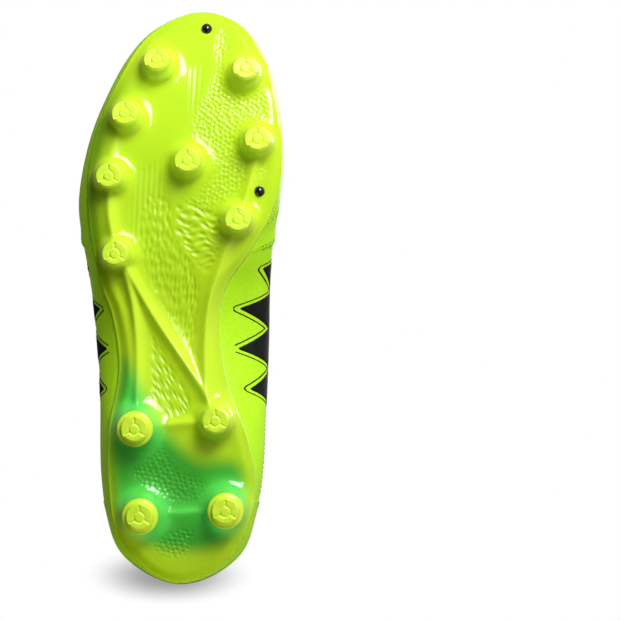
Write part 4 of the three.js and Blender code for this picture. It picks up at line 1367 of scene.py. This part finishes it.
class CLEAT_OT_inner_sole(bpy.types.Operator):
    """Lays the sockliner and its cloth, and finishes the layers hidden below them"""

    bl_idname = "cleat.inner_sole"
    bl_label = "Inner sole"

    def execute(self, context):
        colours = context.scene.cleat_colours
        foam = moulded_foam("sockliner_foam", "#4B4D50", "#2E3033", 0.7, 0.85)
        cloth = knitted("knitted_polyester_cloth", colours.cloth, linear("#08090A"), 0.9, 0.9)
        put_slab("sockliner_pad", 7.2, above_board(0), above_board(3.6), foam, "sockliner", "foam",
                 ["sockliner"], 1.4)
        put_slab("sockliner_top_cloth", 7.3, above_board(3.7), above_board(4.4), cloth, "sockliner",
                 "black_cloth", ["sockliner_cloth"], 0.5)
        finishes = {
            "midsole_foam": moulded_foam("eva_midsole_foam", "#EFEFE8", "#D8D8CF", 0.6, 0.8),
            "lasting_board": moulded_foam("nonwoven_lasting_board", "#C6C0AE", "#98917E", 0.5, 0.95),
            "heel_gel_pad": gel_elastomer(),
        }
        for node, material in finishes.items():
            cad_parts[node].data.materials.clear()
            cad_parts[node].data.materials.append(material)
        return {"FINISHED"}


LINING_FOOT = 1.2  # where the linings begin, over the lasting board's underside
PAD_LOW, PAD_FRONT = 50.5, -34  # lower edge and front end of the collar's padding
BINDING_RADIUS = 1.75  # of the rolled binding along the collar's edge


def over_lining_foot(p):
    return p[:, 2] - midsole_top(p[:, 0]) - LINING_FOOT


def cushion_depth(p):
    """Inner depth of the collar's padding: it swells below its top and thins at its foot and front ends."""
    top, low, front = under_collar(p), np.maximum(p[:, 2] - PAD_LOW, 0), np.maximum(PAD_FRONT - p[:, 0], 0)
    swell = (1 - np.exp(-top / 3.2)) * (1 - 0.6 * np.exp(-low / 3)) * (1 - 0.7 * np.exp(-front / 4))
    return 2.3 + 4.2 * swell


class CLEAT_OT_linings(bpy.types.Operator):
    """Lines the forefoot and the heel, and pads the collar"""

    bl_idname = "cleat.linings"
    bl_label = "Linings"

    def execute(self, context):
        cloth = knitted("polyester_lining", linear("#C4EE5A"), linear("#8FBF22"), 1.1, 0.85)
        soft = knitted("brushed_collar_lining", linear("#B9EA3E"), linear("#86B81A"), 0.9, 0.9)
        board = moulded_foam("thermoplastic_stiffener", "#B9B6AC", "#A09C90", 0.4, 0.6)
        away = beyond(over_throat(18, THROAT_BACK - 30))
        ws = np.linspace(0, 1, 70)
        layers = [
            # name, node, ring stretch, shares, depths, finish and slot, border levels
            ("vamp_lining_cloth", "vamp_lining", (0.45, 2.55), ws, LINING, cloth, "lining",
             [lambda p: p[:, 0] - 14, over_lining_foot, away]),
            ("heel_lining_cloth", "heel_lining", (2.3, 4.7), ws, LINING, cloth, "lining",
             [lambda p: 13.6 - p[:, 0], over_lining_foot, away, lambda p: 56 - p[:, 2]]),
            ("heel_counter_shell", "heel_counter", (2.6, 4.4), ws[3:], STIFFENER, board, "board",
             [lambda p: -72 - p[:, 0], lambda p: 50 - p[:, 2]]),
            ("toe_puff_shell", "toe_puff", (0.9, 2.1), ws[3:], STIFFENER, board, "board",
             [lambda p: p[:, 0] - 104]),
        ]
        for name, node, span, shares, depths, material, slot, levels in layers:
            cut = patch(ring_steps(*span, 1.6), shares, levels)
            put_shell(name, cut, *depths, material, "cleat", slot, [node], roll=0.3)

        edges = [lambda p: under_collar(p) - 0.2, lambda p: p[:, 2] - PAD_LOW, lambda p: PAD_FRONT - p[:, 0]]
        cut = patch(ring_steps(2.3, 4.7, 1.2), np.linspace(0.3, 1, 90), edges)
        pad = put_shell("collar_cushion", cut, 1.7, cushion_depth, soft, "cleat", "lining",
                        ["collar_padding"], roll=0.5)
        path, up = collar_path(1.0, 1.35)
        put_mesh("collar_binding", *tube(path, BINDING_RADIUS, 14, up=up), soft, "cleat", "lining")
        return {"FINISHED"}


TONGUE = [
    (71, -12), (60, -15.5), (40, -18), (10, -21), (-20, -21), (-42, -18), (-46.5, -8), (-46.5, 8), (-42, 18),
    (-20, 21), (10, 21), (40, 18), (60, 15.5), (71, 12),
]
TONGUE_SEAM = 3.2  # from the tongue's edge to its stitches


def tongue_line(inset=0.0):
    """The tongue's outline in plan, drawn in by inset."""
    line = spline(TONGUE, 90, closed=True)
    line[:, 1] += spine_y(line[:, 0])
    way = np.roll(line, -1, axis=0) - np.roll(line, 1, axis=0)
    way /= np.linalg.norm(way, axis=1, keepdims=True)
    return line + inset * np.stack([way[:, 1], -way[:, 0]], -1)


class CLEAT_OT_tongue(bpy.types.Operator):
    """Pads the tongue under the lace"""

    bl_idname = "cleat.tongue"
    bl_label = "Tongue"

    def execute(self, context):
        colours = context.scene.cleat_colours
        leather = synthetic_leather("synthetic_leather_tongue", colours, 1.2, 0.35)
        line = tongue_line()

        def from_edge(p):
            return signed_distance(line, p[:, 0], p[:, 1])

        def outer(p):
            e = from_edge(p)
            seam = 0.7 * bell(e - TONGUE_SEAM, 0.7)
            return 6.2 + seam + 1.6 * np.exp(-np.maximum(e, 0) / 1.2) - 0.3 * step(3.5, 9, e)

        def inner(p):
            e = from_edge(p)
            return 9.9 - 1.8 * np.exp(-np.maximum(e, 0) / 1.2) + 0.3 * step(3.5, 9, e)

        levels = [from_edge, lambda p: p[:, 2] - THROAT_LOW]
        cut = patch(ring_steps(0.2, 2.8, 1.2), np.linspace(0.4, 1, 80), levels)
        pad = put_shell("tongue_pad", cut, outer, inner, leather, "tongue", "upper", ["tongue"], roll=0.3)
        return {"FINISHED"}


LACE_RADIUS = 1.12
LACE_PITCH = 0.45  # from one ring of the lace to the next
STRAND_TURNS = 7.0  # units of the braid's pattern round the lace


def rope_path(points, per_span):
    """A centripetal Catmull-Rom curve through points in space."""
    p = np.array(points, float)
    q = np.vstack([2 * p[0] - p[1], p, 2 * p[-1] - p[-2]])
    gap = np.linalg.norm(np.diff(q, axis=0), axis=1)[:, None] ** 0.5
    a, b, c, d = q[:-3], q[1:-2], q[2:-1], q[3:]
    g0, g1, g2 = gap[:-2], gap[1:-1], gap[2:]
    start = ((b - a) / g0 - (c - a) / (g0 + g1) + (c - b) / g1) * g1
    end = ((c - b) / g1 - (d - b) / (g1 + g2) + (d - c) / g2) * g1
    t = np.linspace(0, 1, per_span, endpoint=False)[None, :, None]
    h = ((2 * t**3 - 3 * t**2 + 1) * b[:, None] + (t**3 - 2 * t**2 + t) * start[:, None]
         + (3 * t**2 - 2 * t**3) * c[:, None] + (t**3 - t**2) * end[:, None])
    return np.vstack([h.reshape(-1, 3), p[-1:]])


def plan_point(x, side, from_spine, depth):
    """The point at a depth below the skin, at x and a distance from the spine in plan."""
    u, w = find_plan(x, side, from_spine, depth)
    return skin(u, w, depth)


def lace_half(start_side):
    """Half the lace's route: up through an eyelet, over the tongue, under the far edge and up the next."""
    route = []
    side = start_side
    edge = THROAT_HALF
    hole = edge + EYELET_FROM_EDGE
    for row, x in enumerate(EYELET_X):
        u, w = find_plan(x, side, hole)
        centre, axis = skin(u, w), normal(u, w)
        under, over = centre - 1.8 * axis, centre + 1.6 * axis
        if row == len(EYELET_X) - 1:
            route += [plan_point(x + 1.6, side, hole - 3.4, -3), over, under]
            break
        route += [plan_point(x + (2 if row else 0), side, hole - 4, 3.55), under, over]
        ahead = EYELET_X[row + 1]
        route.append(plan_point(x - 2.4, side, hole - 3.6, -3))
        route.append(plan_point(lerp(x, ahead, 0.32), side, edge - 3, -2.6))
        route.append(plan_point((x + ahead) / 2, side, 0.05, -1.8 if start_side > 0 else 1.6))
        depth = -2.4 if row == len(EYELET_X) - 2 else 2.9
        route.append(plan_point(lerp(x, ahead, 0.68), -side, edge - 3, depth))
        side = -side
    return route, side


class CLEAT_OT_lace(bpy.types.Operator):
    """Threads the lace through the twelve eyelets and tucks its ends, with their aglets, into the shoe"""

    bl_idname = "cleat.lace"
    bl_label = "Lace"

    def execute(self, context):
        x, hole = EYELET_X[-1], THROAT_HALF + EYELET_FROM_EDGE
        # Rings of an aglet, with two crimps: how far along it, and its radius there
        along = np.array([0.6, 0.62, 0.9, 3.4, 3.6, 3.8, 6.6, 6.8, 7.0, 10, 11.8, 12.4, 12.6])
        thick = np.array([0.9, 1.25, 1.42, 1.42, 1.34, 1.42, 1.42, 1.34, 1.42, 1.42, 1.4, 1.1, 0.6])
        runs = []
        for start in (-1, 1):
            route, side = lace_half(start)
            tail = [plan_point(x - down / 4, side, hole + down, 3.5 + down / 12) for down in (3, 7, 10, 19)]
            way = (tail[3] - tail[2]) / np.linalg.norm(tail[3] - tail[2])
            runs.append(route + tail[:3])
            name = "lateral_aglet" if side < 0 else "medial_aglet"
            points, faces = tube(tail[2] + way * along[:, None], thick, 20)
            put_mesh(name + "_film", points, faces, aglet_film(), "cleat", "aglet", [name])
        sides = 18
        path = even(rope_path([*runs[0][::-1], *runs[1]], 24), LACE_PITCH)
        rows = np.arange(len(path))[:, None] * LACE_PITCH
        columns = np.arange(sides)[None] * STRAND_TURNS / sides
        uv = np.stack(np.broadcast_arrays(columns, rows), -1).reshape(-1, 2)
        uv = np.vstack([uv, [[0, 0], [0, rows[-1, 0]]]])
        lace = braided_lace(context.scene.cleat_colours)
        put_mesh("lace_cord", *tube(path, LACE_RADIUS, sides), lace, "cleat", "lace", ["lace"], uv=uv)
        return {"FINISHED"}


EYESTAY_ROWS = (1.5, EYESTAY_WIDTH - 1.5)  # distances of the eyestay's stitch rows from the throat's edge
# Rows of stitches beside the two seams: distance from the seam, seam, depth, room over the feather line, top
SEAM_ROWS = [
    (-1.4, VAMP_SEAM, -0.76, 1.5, 58), (-3.0, VAMP_SEAM, -0.68, 1.5, 58),
    (1.4, HEEL_SEAM, -0.24, 6, 90), (3.0, HEEL_SEAM, -0.22, 6, 90),
]


def seam_runs(side):
    """Points and normals of the stitch rows on a side: beside its seams and along the eyestay's two edges."""
    for by, line, depth, room, top in SEAM_ROWS:
        moved = shifted(line, by)
        x, z = moved.T
        below_collar = in_side(UNDER_COLLAR, np.insert(moved, 1, 0, axis=1)) >= 3
        yield on_skin(moved[(z > feather(x) + room) & (z < top) & below_collar], side, depth)
    for margin in EYESTAY_ROWS:
        u, w = find_plan(np.arange(50, -40, -1.0), side, THROAT_HALF + margin)
        held = under_collar(skin(u, w)) > 4.5
        yield skin(u, w, -1.38)[held], normal(u, w)[held]


def tongue_run(side):
    """Points and normals of the stitch row along one edge of the tongue, from its back to its front."""
    line = tongue_line(TONGUE_SEAM)
    from_spine = side * (line[:, 1] - spine_y(line[:, 0]))
    held = (line[:, 0] > -43) & (line[:, 0] < 44) & (from_spine > 1)
    x, from_spine = line[held, 0], from_spine[held]
    order = np.argsort(x)
    u, w = find_plan(x[order], side, from_spine[order], 6.4)
    return skin(u, w, 6.45), normal(u, w)


class CLEAT_OT_stitching(bpy.types.Operator):
    """Sews the seams, the collar, the eyestays and the tongue with single stitches"""

    bl_idname = "cleat.stitching"
    bl_label = "Stitching"

    def execute(self, context):
        sizes = context.scene.cleat_sizes
        thread = sewing_thread(context.scene.cleat_colours)

        def sewn(path, normals):
            spaced = even(np.hstack([path, normals]), sizes.stitch_pitch * 1000)
            return stitches(spaced[:, :3], spaced[:, 3:], sizes.stitch_length * 1000, sizes.thread * 1000 / 2)

        held = WING_EDGE[WING_EDGE[:, 1] > feather(WING_EDGE[:, 0]) + 0.5]
        welt, up = on_skin(held, 1, 0.1)
        put_mesh("wing_welt", *tube(welt, 0.42, 8, up=up), pressed_binding(), "cleat", "upper")
        rows = []
        for side in (-1, 1):
            rows += [sewn(*run) for run in seam_runs(side)]
        for line in (shifted(WING_EDGE, 1.7), shifted(WING_EDGE, -1.7), HEEL_ROW, HEEL_ROW + (0, 2)):
            held = line[(line[:, 1] > feather(line[:, 0]) + 0.8) & (line[:, 1] < 50)]
            rows.append(sewn(*on_skin(held, 1, -0.03)))
        rows.append(sewn(*collar_path(4.2, -0.04)))
        put_mesh("seam_stitches", *joined(rows), thread, "cleat", "upper")
        rows = [sewn(*tongue_run(side)) for side in (-1, 1)]
        put_mesh("tongue_stitches", *joined(rows), thread, "tongue", "upper")
        return {"FINISHED"}


class CLEAT_OT_bond(bpy.types.Operator):
    """Runs the thin bead of cement between the plate and the upper"""

    bl_idname = "cleat.bond"
    bl_label = "Bond line"

    def execute(self, context):
        us = np.linspace(0, 4, 700, endpoint=False)
        path = skin(us, 0.0)
        inward = skin(us, 0.0, 0.25) - path
        path = path + inward * (1, 1, 0)
        path[:, 2] -= 0.15
        points, faces = tube(path, 0.34, 6, closed=True)
        put_mesh("bond_bead", points, faces, bond_cement(), "cleat", "plate")
        return {"FINISHED"}


class CLEAT_OT_stage(bpy.types.Operator):
    """Sets the camera, the studio lights and the pale floor"""

    bl_idname = "cleat.stage"
    bl_label = "Stage"

    def execute(self, context):
        scene = context.scene
        scene.view_settings.view_transform = "Standard"
        place_camera(scene)
        for light in LIGHTS:
            place_light(scene, *light)
        place_world(scene)
        place_floor(scene)
        place_heel_shadow(scene)
        return {"FINISHED"}


CAMERA_AT = Vector((-0.00675, 0.064, -0.850))  # below the sole and square to it, off to its inner side
CAMERA_REACH = 0.880  # from the lens to the plane of the plate
VIEW_WIDTH = 0.310  # what the camera sees across that plane
SENSOR = 36.0

# Name, place, target, width, height, watts. A lamp that fills a shadow shows in no reflection.
LIGHTS = [
    ("sole_key", (0.45, 0.25, -0.45), (0.02, 0.0, 0.02), 0.32, 0.32, 4.8),
    ("sole_spark", (0.26, 0.30, -0.74), (0.02, 0.0, 0.02), 0.12, 0.12, 0.6),
    ("heel_fill", (-0.60, 0.0, 0.05), (-0.12, 0.0, 0.04), 0.25, 0.25, 1.3),
    ("top_key", (0.35, 0.55, 0.90), (0.0, 0.0, 0.04), 0.60, 0.60, 5.2),
    ("top_fill", (-0.10, -0.80, 0.75), (0.0, 0.0, 0.04), 0.80, 0.80, 3.6),
]


def place_camera(scene):
    """The camera under the sole, looking straight up, with the toe at the top of the picture."""
    data = bpy.data.cameras.new("camera")
    data.sensor_width = SENSOR
    data.lens = SENSOR * CAMERA_REACH / VIEW_WIDTH
    camera = bpy.data.objects.new("camera", data)
    right, up, back = Vector((0, 1, 0)), Vector((1, 0, 0)), Vector((0, 0, -1))
    turn = Matrix((right, up, back)).transposed().to_4x4()
    camera.matrix_world = Matrix.Translation(CAMERA_AT) @ turn
    scene.collection.objects.link(camera)
    scene.camera = camera


def place_light(scene, name, place, target, width, height, watts):
    """A rectangular lamp at its place, facing its target."""
    data = bpy.data.lights.new(name, "AREA")
    data.shape = "RECTANGLE"
    data.size, data.size_y, data.energy = width, height, watts
    lamp = bpy.data.objects.new(name, data)
    lamp.location = place
    lamp.rotation_mode = "QUATERNION"
    lamp.rotation_quaternion = (Vector(target) - Vector(place)).to_track_quat("-Z", "Y")
    lamp.visible_glossy = not name.endswith("fill")
    scene.collection.objects.link(lamp)


def place_world(scene):
    """A pale room, white where the camera looks past the object.

    As a light it is softer, and fades from the toe's inner side to the opposite one.
    """
    world = bpy.data.worlds.new("studio")
    world.use_nodes = True
    world.node_tree.nodes.clear()
    way = add(world, "TexCoord", out="Generated")
    facing = add(world, "VectorMath", {0: way, 1: (0.68, 0.72, 0.05)}, out="Value", operation="DOT_PRODUCT")
    strength = add(world, "MapRange", {"Value": facing, "From Min": -0.9, "From Max": 0.9, "To Max": 0.45})
    room = add(world, "Background", {"Color": WHITE, "Strength": strength})
    backdrop = add(world, "Background", {"Color": WHITE})
    seen = add(world, "LightPath", out="Is Camera Ray")
    add(world, "OutputWorld", {"Surface": add(world, "MixShader", {0: seen, 1: room, 2: backdrop})})
    scene.world = world


def stage_plane(scene, name, corners, material):
    """A flat sheet that only the camera sees, so that it takes no light from the object."""
    mesh = bpy.data.meshes.new(name)
    mesh.from_pydata(corners, [], [(0, 1, 2, 3)])
    mesh.materials.append(material)
    plane = bpy.data.objects.new(name, mesh)
    plane.visible_diffuse = plane.visible_glossy = plane.visible_shadow = plane.visible_transmission = False
    scene.collection.objects.link(plane)
    return plane


def place_floor(scene):
    """A pale floor under the studs, clear from below, so that the sole can be seen and lit through it."""
    m = new_material("matt_pale_floor")
    shade = add(m, "Mix", {0: patches(m, 3, 3, 0.3, 0.7), 6: linear("#B0B0AD"), 7: linear("#B5B5B2")}, **RGB)
    near = add(m, "BsdfPrincipled", {
        "Base Color": shade, "Roughness": 0.9, "Emission Color": WHITE, "Emission Strength": 0.6,
    })
    far = add(m, "Emission", {"Color": WHITE})
    reach = add(m, "VectorMath", {0: add(m, "TexCoord", out="Object")}, out="Value", operation="LENGTH")
    fading = {"Value": reach, "From Min": 0.18, "From Max": 0.6}
    fade = add(m, "MapRange", fading, interpolation_type="SMOOTHSTEP")
    floor = add(m, "MixShader", {0: fade, 1: near, 2: far})
    under = add(m, "NewGeometry", out="Backfacing")
    open_below = add(m, "MixShader", {0: under, 1: floor, 2: add(m, "BsdfTransparent")})
    add(m, "OutputMaterial", {"Surface": open_below})
    stage_plane(scene, "floor", [(-3, -3, 0), (3, -3, 0), (3, 3, 0), (-3, 3, 0)], m)


def place_heel_shadow(scene):
    """The shadow beyond the heel: a clear sheet with a dark blurred ellipse, seen only from below."""
    m = new_material("heel_shadow")
    where = add(m, "TexCoord", out="Object")
    ellipse = add(m, "Mapping", {"Vector": where, "Scale": (1 / 0.0155, 1 / 0.043, 0)})
    reach = add(m, "VectorMath", {0: ellipse}, out="Value", operation="LENGTH")
    fading = {"Value": reach, "From Min": 0.2, "From Max": 1.0, "To Min": 0.66, "To Max": 0.0}
    dark = add(m, "MapRange", fading, interpolation_type="SMOOTHSTEP")
    grey = add(m, "Emission", {"Color": linear("#33352F")})
    above = add(m, "NewGeometry", out="Backfacing")
    below = add(m, "Math", {0: 1.0, 1: above}, operation="SUBTRACT")
    share = add(m, "Math", {0: dark, 1: below}, operation="MULTIPLY")
    shadow = add(m, "MixShader", {0: share, 1: add(m, "BsdfTransparent"), 2: grey})
    add(m, "OutputMaterial", {"Surface": shadow})
    corners = [(-0.03, -0.06, 0), (-0.03, 0.06, 0), (0.03, 0.06, 0), (0.03, -0.06, 0)]
    stage_plane(scene, "heel_shadow", corners, m).location = (-0.138, -0.0055, 0.020)


class CLEAT_PT_panel(bpy.types.Panel):
    """Lists the cleat's pieces and colours"""

    bl_label = "Cleat"
    bl_idname = "CLEAT_PT_panel"
    bl_space_type = "VIEW_3D"
    bl_region_type = "UI"
    bl_category = "Cleat"

    def draw(self, context):
        for operator in OPERATORS:
            self.layout.operator(operator.bl_idname)
        for group in (context.scene.cleat_sizes, context.scene.cleat_colours):
            for key in group.__annotations__:
                self.layout.prop(group, key)


OPERATORS = [
    CLEAT_OT_stage, CLEAT_OT_plate, CLEAT_OT_studs, CLEAT_OT_tacks, CLEAT_OT_bond, CLEAT_OT_inner_sole,
    CLEAT_OT_linings, CLEAT_OT_upper, CLEAT_OT_overlays, CLEAT_OT_tongue, CLEAT_OT_lace, CLEAT_OT_stitching,
]
CLASSES = [CleatSizes, CleatColours, *OPERATORS, CLEAT_PT_panel]


def register():
    for entry in CLASSES:
        bpy.utils.register_class(entry)
    bpy.types.Scene.cleat_sizes = bpy.props.PointerProperty(type=CleatSizes)
    bpy.types.Scene.cleat_colours = bpy.props.PointerProperty(type=CleatColours)


def unregister():
    del bpy.types.Scene.cleat_colours
    del bpy.types.Scene.cleat_sizes
    for entry in reversed(CLASSES):
        bpy.utils.unregister_class(entry)


def main():
    """Makes every piece in order."""
    register()
    for operator in OPERATORS:
        group, name = operator.bl_idname.split(".")
        getattr(getattr(bpy.ops, group), name)()


if __name__ == "__main__":
    main()
